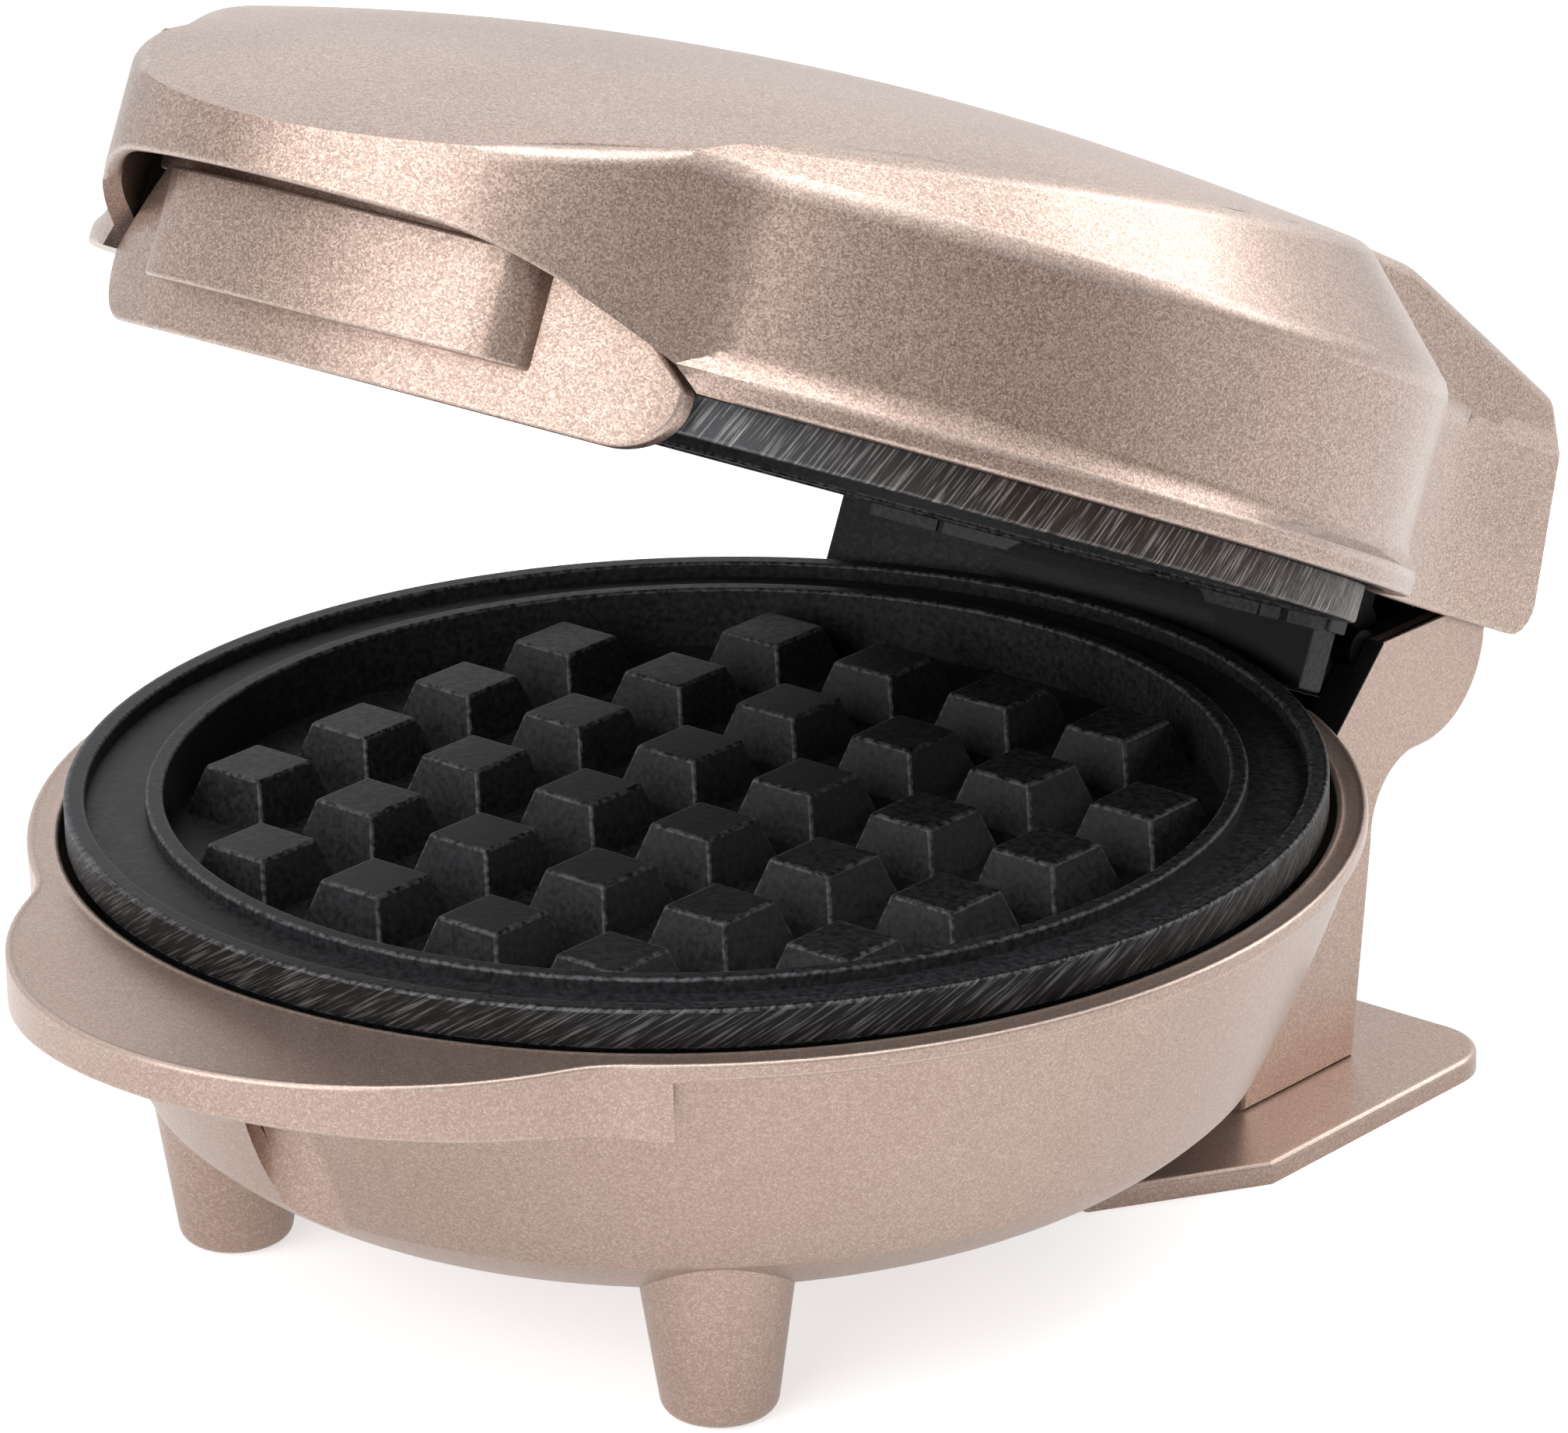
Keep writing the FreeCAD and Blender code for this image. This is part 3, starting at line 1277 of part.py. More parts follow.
# Lid pieces
on_lid(make_lid_housing(), "lid_housing")
on_lid(make_handle_tab(), "handle_tab")
on_lid(screw_group("handle_screws", lug_places, S.seam_z + S.lug_z, S.lug_thick + S.lid_screw_bite),
       "handle_screws")
mirrored_casting = doc.addObject("Part::Mirroring", "mirrored_casting")
mirrored_casting.Source = plate_casting
mirrored_casting.Normal = FreeCAD.Vector(0, 0, 1)
bind(mirrored_casting, "Base.z", mirror_z)
on_lid(group("upper_plate", [mirrored_casting]), "upper_plate")
on_lid(make_shield("upper_heat_shield", upper_shield_z, False, boss_places + shield_screw_places,
                   element_pin_places), "upper_heat_shield")
upper_element_z = upper_plate_back_z + S.element_tube + S.element_seat
on_lid(make_element("upper_element", upper_element_z), "upper_element")
upper_pin_z = upper_element_z + S.element_tube + S.element_seat
on_lid(group("upper_element_pins", [
    cylinder(f"upper_pin_{i}", x, y, upper_pin_z, S.element_pin_radius, upper_shield_top - upper_pin_z)
    for i, (x, y) in enumerate(element_pin_places)]), "upper_element_pins")
on_lid(group("lid_terminal_block", [
    box("lid_terminal_body", -S.terminal_width / 2, terminal_y, upper_shield_top,
        S.terminal_width, S.terminal_depth, S.terminal_height)]), "lid_terminal_block")
fuse_z = upper_plate_back_z + S.fuse_radius + S.element_seat
fuse = cylinder("fuse_can", -S.fuse_length / 2, S.fuse_y, fuse_z, S.fuse_radius, S.fuse_length)
fuse.Placement.Rotation = FreeCAD.Rotation(FreeCAD.Vector(0, 1, 0), 90)
on_lid(group("thermal_fuse", [fuse]), "thermal_fuse")
on_lid(screw_group("upper_plate_screws", boss_places, upper_shield_top, S.shield_thick + S.plate_screw_bite,
                   up=False), "upper_plate_screws")
on_lid(screw_group("shield_screws", shield_screw_places, upper_shield_z, S.shield_thick + S.lid_screw_bite),
       "shield_screws")
on_lid(make_hinge_block(), "hinge_block")
on_lid(screw_group("hinge_block_screws", hinge_screw_places, hinge_block_top - S.lid_screw_bite,
                   2 * S.lid_screw_bite), "hinge_block_screws")

doc.recompute()


def check(items):
    """Stop before anything is written if an object failed or a shape is missing or broken."""
    for item in doc.Objects:
        if "Invalid" in item.State or "Error" in item.State:
            raise RuntimeError(f"{item.Name} failed: {item.State}")
    for item in items:
        if item.Shape.isNull() or not item.Shape.isValid():
            raise RuntimeError(f"{item.Label} has no valid shape")


def open_lid():
    """Placement that turns the lid's pieces from shut to the stored open pose."""
    centre = FreeCAD.Vector(0, hinge_y.value, S.hinge_z.value)
    turn = FreeCAD.Rotation(FreeCAD.Vector(1, 0, 0), -S.rest_open.value)
    return FreeCAD.Placement(FreeCAD.Vector(), turn, centre)


def place_all():
    """Open the lid, then move everything so that the middle of the footprint is the origin."""
    for item in lid_nodes:
        item.Placement = open_lid() * item.Placement
    doc.recompute()
    boxes = [item.Shape.optimalBoundingBox(False, False) for item in base_nodes + lid_nodes]
    middle = (min(b.YMin for b in boxes) + max(b.YMax for b in boxes)) / 2
    shift = FreeCAD.Placement(FreeCAD.Vector(0, -middle, 0), FreeCAD.Rotation())
    for item in base_nodes + lid_nodes:
        item.Placement = shift * item.Placement
    doc.recompute()
    return middle


check(base_nodes + lid_nodes)
middle_y = place_all()
check(base_nodes + lid_nodes)
print("plate centre y", -middle_y)
print("hinge axis y, z", hinge_y.value - middle_y, S.hinge_z.value)

os.makedirs("parts", exist_ok=True)
for node in base_nodes + lid_nodes:
    node.Shape.exportStep(f"parts/{node.Label}.step")
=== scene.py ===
"""Looks of a round waffle maker: its finishes, rounded mouldings, hinge trim, studio and camera."""

import logging
import math
from collections.abc import Callable, Iterable
from dataclasses import dataclass, field
from enum import Enum

import bmesh
import bpy
from mathutils import Matrix, Vector
from mathutils.geometry import intersect_point_line


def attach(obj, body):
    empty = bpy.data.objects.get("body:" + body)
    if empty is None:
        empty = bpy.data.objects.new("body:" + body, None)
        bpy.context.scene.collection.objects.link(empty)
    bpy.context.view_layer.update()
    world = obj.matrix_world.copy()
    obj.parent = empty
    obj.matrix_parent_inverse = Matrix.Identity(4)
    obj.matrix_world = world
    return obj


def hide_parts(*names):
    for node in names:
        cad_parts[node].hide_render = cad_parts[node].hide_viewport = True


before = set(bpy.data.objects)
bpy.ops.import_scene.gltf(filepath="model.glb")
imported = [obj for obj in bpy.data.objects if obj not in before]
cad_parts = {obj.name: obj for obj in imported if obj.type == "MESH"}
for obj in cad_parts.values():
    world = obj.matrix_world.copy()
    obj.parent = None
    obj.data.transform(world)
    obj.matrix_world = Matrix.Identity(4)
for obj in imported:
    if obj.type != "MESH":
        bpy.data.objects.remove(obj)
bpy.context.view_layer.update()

MM = 0.001
PLATE_Y = -15.05 * MM
HINGE_Y = 85.95 * MM
HINGE_Z = 66.0 * MM
HINGE_REACH = HINGE_Y - PLATE_Y
HINGE = Vector((0.0, HINGE_Y, HINGE_Z))
REST_OPEN = math.radians(25.2)
OPENING = Matrix.Rotation(-REST_OPEN, 3, "X")
ROUNDING = "rounding"
SNAP = 1e-6
FINE_SNAP = 1e-7

Span = tuple[float, float]
Colour = tuple[float, float, float]

log = logging.getLogger("waffle_maker")


class Body(Enum):
    """The two bodies of the frame."""

    BASE = "base"
    LID = "lid"


class Slot(Enum):
    """Material slots, one carried by each finish."""

    SHELL = "champagne_shell"
    PLATE = "nonstick_plate"
    PLASTIC = "black_plastic"
    SHEET = "shield_steel"
    HEATER = "heater_steel"
    FASTENER = "fastener_steel"
    CERAMIC = "terminal_ceramic"
    RUBBER = "black_rubber"


# Shader building blocks


class Graph:
    """A shader node tree that is filled node by node."""

    def __init__(self, tree: bpy.types.NodeTree) -> None:
        """Keep the tree and clear it.

        Args:
            tree: Node tree of a material, world or group.
        """
        self.tree = tree
        tree.nodes.clear()

    def add(self, kind: str, inputs: dict | None = None, **settings: object) -> bpy.types.Node:
        """Add a node, set its options, and set or link its inputs.

        Args:
            kind: Blender's node type, without the ShaderNode part.
            inputs: Value or output socket for each input, by name or number.
            settings: Options of the node.

        Returns:
            The new node.
        """
        node = self.tree.nodes.new(kind if kind.startswith("Node") else f"ShaderNode{kind}")
        for name, value in settings.items():
            setattr(node, name, value)
        self.feed(node, inputs or {})
        return node

    def feed(self, node: bpy.types.Node, inputs: dict) -> None:
        """Set or link inputs of a node.

        Args:
            node: The node.
            inputs: Value or output socket for each input, by name or number.
        """
        for key, value in inputs.items():
            if isinstance(value, bpy.types.NodeSocket):
                self.tree.links.new(value, node.inputs[key])
            else:
                node.inputs[key].default_value = value

    def math(self, operation: str, *values: object) -> bpy.types.NodeSocket:
        """Result of a Math node that is fed numbers or sockets, as a socket."""
        return self.add("Math", dict(enumerate(values)), operation=operation).outputs[0]

    def weigh(self, first: object, share: object, second: object, other: object) -> bpy.types.NodeSocket:
        """Sum of first times share and second times other, as a socket."""
        return self.math("ADD", self.math("MULTIPLY", first, share), self.math("MULTIPLY", second, other))

    def ramp(self, value: object, low: float, high: float, first: float, last: float) -> bpy.types.NodeSocket:
        """Value mapped from low..high to first..last and clamped, as a socket."""
        inputs = {"Value": value, "From Min": low, "From Max": high, "To Min": first, "To Max": last}
        return self.add("MapRange", inputs).outputs["Result"]

    def mix(self, share: object, first: object, second: object) -> bpy.types.NodeSocket:
        """Colour between first and second, each a colour or a socket, as a socket."""
        ends = [end if isinstance(end, bpy.types.NodeSocket) else (*end, 1.0) for end in (first, second)]
        return self.add("Mix", {"Factor": share, 6: ends[0], 7: ends[1]}, data_type="RGBA").outputs[2]


def new_group(name: str, inputs: dict[str, float], outputs: Iterable[str]) -> tuple[Graph, dict, bpy.types.Node]:
    """Start a shader group with a Vector input, float inputs and float outputs.

    Args:
        name: Name of the group.
        inputs: Float inputs and their first values.
        outputs: Names of the float outputs.

    Returns:
        The group's graph, its input sockets by name, and its output node.
    """
    tree = bpy.data.node_groups.new(name, "ShaderNodeTree")
    tree.interface.new_socket("Vector", in_out="INPUT", socket_type="NodeSocketVector")
    for key, value in inputs.items():
        tree.interface.new_socket(key, in_out="INPUT", socket_type="NodeSocketFloat").default_value = value
    for key in outputs:
        tree.interface.new_socket(key, in_out="OUTPUT", socket_type="NodeSocketFloat")
    graph = Graph(tree)
    source = graph.add("NodeGroupInput")
    return graph, {s.name: s for s in source.outputs if s.name}, graph.add("NodeGroupOutput")


class Effects:
    """Surface effects that several finishes share, each a shader group built once."""

    spark_power: float = 9.0
    grain_span: Span = (0.3, 0.7)
    mottle_span: Span = (0.32, 0.68)
    mark_span: Span = (0.5, 0.72)

    def __init__(self) -> None:
        """Build every group."""
        self.flakes = self._flakes()
        self.grain = self._grain()
        self.mottle = self._mottle()
        self.scratches = self._scratches()

    def _flakes(self) -> bpy.types.NodeTree:
        """Metal flakes in paint: a random tone per flake, and a mask of the few that catch the light.

        Returns:
            The group.
        """
        graph, source, sink = new_group("paint_flakes", {"Scale": 2600.0}, ("Tone", "Spark"))
        cells = graph.add("TexVoronoi", source)
        tone = graph.add("SeparateColor", {0: cells.outputs["Color"]}).outputs[0]
        graph.feed(sink, {"Tone": tone, "Spark": graph.math("POWER", tone, self.spark_power)})
        return graph.tree

    def _grain(self) -> bpy.types.NodeTree:
        """Fine even grain of a moulded or sprayed surface.

        Returns:
            The group.
        """
        graph, source, sink = new_group("fine_grain", {"Scale": 1500.0}, ("Tone", "Height"))
        noise = graph.add("TexNoise", {**source, "Detail": 2.0}).outputs["Fac"]
        graph.feed(sink, {"Tone": graph.ramp(noise, *self.grain_span, 0.0, 1.0), "Height": noise})
        return graph.tree

    def _mottle(self) -> bpy.types.NodeTree:
        """Slow uneven shade, as of a coat that lies thicker in places.

        Returns:
            The group.
        """
        graph, source, sink = new_group("slow_mottle", {"Scale": 22.0}, ("Tone",))
        noise = graph.add("TexNoise", {**source, "Detail": 3.0}).outputs["Fac"]
        graph.feed(sink, {"Tone": graph.ramp(noise, *self.mottle_span, 0.0, 1.0)})
        return graph.tree

    def _scratches(self) -> bpy.types.NodeTree:
        """Slanting machining marks round an upright drum that is centred on the vector's origin.

        Returns:
            The group.
        """
        inputs = {"Radius": 0.09, "Lean": 0.5, "Across": 1500.0, "Along": 120.0}
        graph, source, sink = new_group("drum_scratches", inputs, ("Mark", "Height"))
        x, y, z = graph.add("SeparateXYZ", {0: source["Vector"]}).outputs
        run = graph.math("MULTIPLY", graph.math("ARCTAN2", y, x), source["Radius"])
        cos, sin = graph.math("COSINE", source["Lean"]), graph.math("SINE", source["Lean"])
        along = graph.weigh(run, cos, z, sin)
        across = graph.math("SUBTRACT", graph.math("MULTIPLY", z, cos), graph.math("MULTIPLY", run, sin))
        place = graph.add("CombineXYZ", {
            0: graph.math("MULTIPLY", along, source["Along"]),
            1: graph.math("MULTIPLY", across, source["Across"]),
        })
        noise = graph.add("TexNoise", {"Vector": place.outputs[0], "Scale": 1.0, "Detail": 3.0}).outputs["Fac"]
        graph.feed(sink, {"Mark": graph.ramp(noise, *self.mark_span, 0.0, 1.0), "Height": noise})
        return graph.tree


class Surface(Graph):
    """The graph of a material, with its shader, its coordinates and the shader groups at hand."""

    def __init__(self, tree: bpy.types.NodeTree, effects: Effects) -> None:
        """Start with a Principled shader.

        Args:
            tree: Node tree of the material.
            effects: Shader groups.
        """
        super().__init__(tree)
        self.effects = effects
        self.shader = self.add("BsdfPrincipled")
        self.add("OutputMaterial", {"Surface": self.shader.outputs[0]})
        self.place = self.add("TexCoord").outputs["Object"]

    def use(self, group: bpy.types.NodeTree, place: bpy.types.NodeSocket, **values: float) -> dict:
        """Outputs of a shader group that is fed coordinates and its own values here, by name."""
        return {s.name: s for s in self.add("Group", {"Vector": place, **values}, node_tree=group).outputs}

    def edge(self) -> bpy.types.NodeSocket:
        """Mask of the rounded edges, as a socket."""
        return self.add("Attribute", attribute_name=ROUNDING).outputs["Fac"]

    def bump(self, height: bpy.types.NodeSocket, depth: float, share: float) -> None:
        """Feed a height into the shader's normal, as a relief of a depth in metres and a strength."""
        node = self.add("Bump", {"Height": height, "Distance": depth, "Strength": share})
        self.feed(self.shader, {"Normal": node.outputs["Normal"]})


# Finishes


@dataclass(frozen=True)
class Finish:
    """A surface with its material slot; each kind of finish draws its own nodes."""

    name: str
    slot: Slot

    def material(self, effects: Effects) -> bpy.types.Material:
        """The finish as a material, made at its first use.

        Args:
            effects: Shader groups to place in the material.

        Returns:
            The material.
        """
        found = bpy.data.materials.get(self.name)
        if found is None:
            found = bpy.data.materials.new(self.name)
            found.use_nodes = True
            self.draw(Surface(found.node_tree, effects))
        return found

    def draw(self, surface: Surface) -> None:
        """Fill in the shader; each kind of finish has its own."""
        raise NotImplementedError


@dataclass(frozen=True)
class FlakePaint(Finish):
    """Satin metallic paint on a moulding, with fine flakes, a slow mottle and a thin clear coat."""

    shade: Colour = (0.345, 0.240, 0.193)
    light: Colour = (0.525, 0.392, 0.328)
    spark: Colour = (0.95, 0.87, 0.82)
    flake_scale: float = 4300.0
    mottle_scale: float = 16.0
    grain_scale: float = 1900.0
    flake_share: float = 0.75
    spark_share: float = 0.15
    # Share of the painted highlight on the rounded edges
    edge_highlight_share: float = 0.10
    metallic: float = 0.76
    roughness: Span = (0.31, 0.40)
    coat: float = 0.35
    coat_roughness: float = 0.28
    relief: float = 0.00004
    relief_share: float = 0.55

    def draw(self, surface: Surface) -> None:
        """Paint tone from flakes and mottle, a painted highlight on the rounded edges, roughness from grain, and a
        fine bump.

        Args:
            surface: The material's graph.
        """
        flakes = surface.use(surface.effects.flakes, surface.place, Scale=self.flake_scale)
        mottle = surface.use(surface.effects.mottle, surface.place, Scale=self.mottle_scale)
        grain = surface.use(surface.effects.grain, surface.place, Scale=self.grain_scale)
        tone = surface.weigh(flakes["Tone"], self.flake_share, mottle["Tone"], 1.0 - self.flake_share)
        base = surface.mix(tone, self.shade, self.light)
        lit = surface.mix(surface.math("MULTIPLY", flakes["Spark"], self.spark_share), base, self.spark)
        surface.feed(surface.shader, {
            # Rounded edges painted lighter towards the spark colour: a painted highlight
            "Base Color": surface.mix(surface.math("MULTIPLY", surface.edge(), self.edge_highlight_share), lit, self.spark),
            "Roughness": surface.ramp(grain["Tone"], 0.0, 1.0, *self.roughness),
            "Metallic": self.metallic,
            "Coat Weight": self.coat,
            "Coat Roughness": self.coat_roughness,
        })
        surface.bump(surface.weigh(grain["Height"], 0.5, flakes["Tone"], 0.5), self.relief, self.relief_share)


@dataclass(frozen=True)
class PlateCoating(Finish):
    """Dark coating on a cast plate, with a turned band of bare metal round it that carries a painted reflection, and
    rounded edges lighter from wear and a painted highlight.
    """

    centre: tuple[float, float, float] = (0.0, PLATE_Y, 0.0)
    tilt: float = 0.0
    band_radius: float = 89.2 * MM
    lean: float = 0.6
    across: float = 2600.0
    grain_scale: float = 1100.0
    shade: Colour = (0.010, 0.0105, 0.0115)
    light: Colour = (0.034, 0.035, 0.038)
    # Colour of the rounded edges: partly wear through the coating, partly a painted highlight
    edge_wear_and_highlight: Colour = (0.30, 0.30, 0.31)
    # Painted reflection on the bare band: its colours at the two ends of a span along x
    band_reflection_left: Colour = (0.085, 0.105, 0.130)
    band_reflection_right: Colour = (0.016, 0.016, 0.016)
    band_mark: Colour = (0.24, 0.24, 0.245)
    band_reflection_span: Span = (-85.0 * MM, -35.0 * MM)
    mark_share: float = 0.6
    wear_and_highlight_span: Span = (0.2, 0.9)
    wear_and_highlight_share: float = 0.30
    roughness: Span = (0.44, 0.60)
    metallic: Span = (0.2, 0.8)
    specular: float = 0.30
    relief: float = 0.00009
    relief_share: float = 0.6

    def draw(self, surface: Surface) -> None:
        """Grain all over, turned marks on the band only, a painted reflection from light to dark across the band, and
        a thin wear with a painted highlight on the rounded edges.

        Args:
            surface: The material's graph.
        """
        seat = {"Vector": surface.place, "Location": self.centre, "Rotation": (self.tilt, 0.0, 0.0)}
        own = surface.add("Mapping", seat, vector_type="TEXTURE").outputs[0]
        x, y, _ = surface.add("SeparateXYZ", {0: own}).outputs
        flat = surface.add("CombineXYZ", {0: x, 1: y}).outputs[0]
        radius = surface.add("VectorMath", {0: flat}, operation="LENGTH").outputs["Value"]
        band = surface.math("GREATER_THAN", radius, self.band_radius)
        grain = surface.use(surface.effects.grain, surface.place, Scale=self.grain_scale)
        marks = surface.use(surface.effects.scratches, own, Radius=self.band_radius, Lean=self.lean,
                            Across=self.across)
        coat = surface.mix(grain["Tone"], self.shade, self.light)
        # Painted reflection: the band goes from its lit colour to its dark colour along x
        band_reflection = surface.mix(surface.ramp(x, *self.band_reflection_span, 0.0, 1.0), self.band_reflection_left, self.band_reflection_right)
        turned = surface.mix(surface.math("MULTIPLY", marks["Mark"], self.mark_share), band_reflection, self.band_mark)
        # Rounded edges lightened through the grain: partly wear, partly a painted highlight
        worn_and_lit = surface.ramp(grain["Tone"], *self.wear_and_highlight_span, 0.0, self.wear_and_highlight_share)
        wear_and_highlight = surface.math("MULTIPLY", surface.edge(), worn_and_lit)
        surface.feed(surface.shader, {
            "Base Color": surface.mix(wear_and_highlight, surface.mix(band, coat, turned), self.edge_wear_and_highlight),
            "Roughness": surface.ramp(grain["Tone"], 0.0, 1.0, *self.roughness),
            "Specular IOR Level": self.specular,
            "Metallic": surface.ramp(band, 0.0, 1.0, *self.metallic),
        })
        relief = surface.math("ADD", grain["Height"], surface.math("MULTIPLY", marks["Height"], band))
        surface.bump(relief, self.relief, self.relief_share)


@dataclass(frozen=True)
class GrainedMoulding(Finish):
    """Plain moulded plastic, ceramic or rubber with a fine grain."""

    shade: Colour = (0.008, 0.008, 0.0085)
    light: Colour = (0.020, 0.020, 0.021)
    grain_scale: float = 1400.0
    mottle_scale: float = 40.0
    grain_share: float = 0.6
    roughness: Span = (0.45, 0.65)
    specular: float = 0.30
    relief: float = 0.00006
    relief_share: float = 0.6

    def draw(self, surface: Surface) -> None:
        """Tone, roughness and bump from the same grain, with a slow mottle.

        Args:
            surface: The material's graph.
        """
        grain = surface.use(surface.effects.grain, surface.place, Scale=self.grain_scale)
        mottle = surface.use(surface.effects.mottle, surface.place, Scale=self.mottle_scale)
        tone = surface.weigh(grain["Tone"], self.grain_share, mottle["Tone"], 1.0 - self.grain_share)
        surface.feed(surface.shader, {
            "Base Color": surface.mix(tone, self.shade, self.light),
            "Roughness": surface.ramp(grain["Tone"], 0.0, 1.0, *self.roughness),
            "Specular IOR Level": self.specular,
        })
        surface.bump(grain["Height"], self.relief, self.relief_share)


@dataclass(frozen=True)
class WorkedSteel(Finish):
    """Bare metal with fine drawn lines and a slow stain."""

    shade: Colour = (0.40, 0.40, 0.39)
    light: Colour = (0.62, 0.62, 0.60)
    stretch: tuple[float, float, float] = (1.0, 1.0, 12.0)
    line_scale: float = 420.0
    stain_scale: float = 60.0
    line_share: float = 0.5
    roughness: Span = (0.22, 0.40)
    relief: float = 0.00003
    relief_share: float = 0.4

    def draw(self, surface: Surface) -> None:
        """Drawn lines from a stretched grain, and tone from a slow mottle.

        Args:
            surface: The material's graph.
        """
        drawn = surface.add("Mapping", {"Vector": surface.place, "Scale": self.stretch}).outputs[0]
        lines = surface.use(surface.effects.grain, drawn, Scale=self.line_scale)
        stain = surface.use(surface.effects.mottle, surface.place, Scale=self.stain_scale)
        tone = surface.weigh(lines["Tone"], self.line_share, stain["Tone"], 1.0 - self.line_share)
        surface.feed(surface.shader, {
            "Base Color": surface.mix(tone, self.shade, self.light),
            "Roughness": surface.ramp(lines["Tone"], 0.0, 1.0, *self.roughness),
            "Metallic": 1.0,
        })
        surface.bump(lines["Height"], self.relief, self.relief_share)


PAINT = FlakePaint("champagne_paint", Slot.SHELL)
COARSE_PAINT = FlakePaint("champagne_coarse_paint", Slot.SHELL, shade=(0.225, 0.150, 0.118),
                          light=(0.645, 0.488, 0.412))
LOWER_COAT = PlateCoating("lower_plate_coating", Slot.PLATE, lean=0.55)
# The upper band's painted reflection is lighter and greyer on the left, darker and browner on the right
UPPER_COAT = PlateCoating("upper_plate_coating", Slot.PLATE, tilt=-REST_OPEN, lean=1.15,
                          band_reflection_left=(0.090, 0.093, 0.100), band_reflection_right=(0.046, 0.036, 0.030),
                          band_mark=(0.58, 0.55, 0.54), band_reflection_span=(55.0 * MM, 80.0 * MM),
                          centre=(0.0, HINGE_Y - HINGE_REACH * math.cos(REST_OPEN),
                                  HINGE_Z + HINGE_REACH * math.sin(REST_OPEN)))
BLACK = GrainedMoulding("black_moulding", Slot.PLASTIC)
PAD = GrainedMoulding("black_pad", Slot.PLASTIC, shade=(0.020, 0.020, 0.021), light=(0.13, 0.13, 0.135),
                      grain_scale=1300.0, relief=0.00015)
RUBBER = GrainedMoulding("black_rubber_moulding", Slot.RUBBER, light=(0.028, 0.028, 0.028), roughness=(0.65, 0.85))
CERAMIC = GrainedMoulding("terminal_ceramic", Slot.CERAMIC, shade=(0.60, 0.57, 0.50), light=(0.74, 0.71, 0.65),
                          roughness=(0.5, 0.7), specular=0.5)
SHEET = WorkedSteel("pressed_sheet", Slot.SHEET)
HEATER = WorkedSteel("heater_tube", Slot.HEATER, shade=(0.10, 0.095, 0.09), light=(0.24, 0.22, 0.20),
                     roughness=(0.38, 0.55))
ZINC = WorkedSteel("zinc_fastener", Slot.FASTENER, roughness=(0.28, 0.42))
BLUED = WorkedSteel("blackened_pin", Slot.FASTENER, shade=(0.012, 0.012, 0.013), light=(0.030, 0.030, 0.032),
                    roughness=(0.42, 0.58))


# Mesh building


def even_normals(mesh: bpy.types.Mesh, smooth_angle: float) -> None:
    """Give each face corner the mean normal of the faces there that lean alike, so that large faces stay even.

    Args:
        mesh: The mesh.
        smooth_angle: Faces that differ by more than this stay creased, in degrees.
    """
    alike = math.cos(math.radians(smooth_angle))
    faces = [(face.normal.copy(), face.area) for face in mesh.polygons]
    around: list[list[int]] = [[] for _ in mesh.vertices]
    for face in mesh.polygons:
        for corner in face.vertices:
            around[corner].append(face.index)
    normals = []
    for face in mesh.polygons:
        own = faces[face.index][0]
        for corner in face.vertices:
            near = (faces[index] for index in around[corner])
            total = sum((normal * area for normal, area in near if normal.dot(own) > alike), Vector())
            normals.append(total.normalized() if total.length > 0.0 else own)
    mesh.set_sharp_from_angle(angle=math.radians(smooth_angle))
    mesh.normals_split_custom_set(normals)


def finish_mesh(name: str, made: bmesh.types.BMesh, body: Body, finishes: Iterable[Finish], effects: Effects,
                smooth_angle: float = 32.0) -> bpy.types.Object:
    """Turn a bmesh into a piece that rides on a body.

    Args:
        name: Name of the piece.
        made: The bmesh, which is freed.
        body: Body that carries the piece.
        finishes: Finishes in the order of the faces' material numbers.
        effects: Shader groups.
        smooth_angle: Edges sharper than this stay creased, in degrees.

    Returns:
        The piece.
    """
    for face in made.faces:
        face.smooth = True
    mesh = bpy.data.meshes.new(name)
    made.to_mesh(mesh)
    made.free()
    even_normals(mesh, smooth_angle)
    piece = bpy.data.objects.new(name, mesh)
    bpy.context.scene.collection.objects.link(piece)
    finishes = list(finishes)
    for finish in finishes:
        mesh.materials.append(finish.material(effects))
    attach(piece, body.value)
    log.info("%s: %d faces on %s", name, len(mesh.polygons), body.value)
    return piece


def opened(made: bmesh.types.BMesh) -> None:
    """Turn a mesh that was drawn in the shut lid's place to the stored open pose."""
    bmesh.ops.rotate(made, verts=made.verts, cent=HINGE, matrix=OPENING)


def shut_place(point: Vector) -> Vector:
    """Where a point of the open lid is when the lid is shut, in millimetres from the plates' centre."""
    return (OPENING.transposed() @ (point - HINGE) + Vector((0.0, HINGE_REACH, HINGE_Z))) / MM


def base_place(point: Vector) -> Vector:
    """A point of the base in millimetres from the plates' centre."""
    return (point - Vector((0.0, PLATE_Y, 0.0))) / MM


Part = bmesh.types.BMVert | bmesh.types.BMEdge | bmesh.types.BMFace


def with_parts(faces: Iterable[bmesh.types.BMFace]) -> list[Part]:
    """The faces with their vertices and edges, each once and in a fixed order."""
    return list(dict.fromkeys(part for face in faces for part in (*face.verts, *face.edges, face)))


def soften(made: bmesh.types.BMesh, reach: float, segments: int) -> None:
    """Round every edge of a mesh, with a reach onto the faces and a number of faces across each edge."""
    bmesh.ops.bevel(made, geom=made.edges[:], offset=reach, offset_type="OFFSET", affect="EDGES", segments=segments,
                    profile=0.5, material=-1)


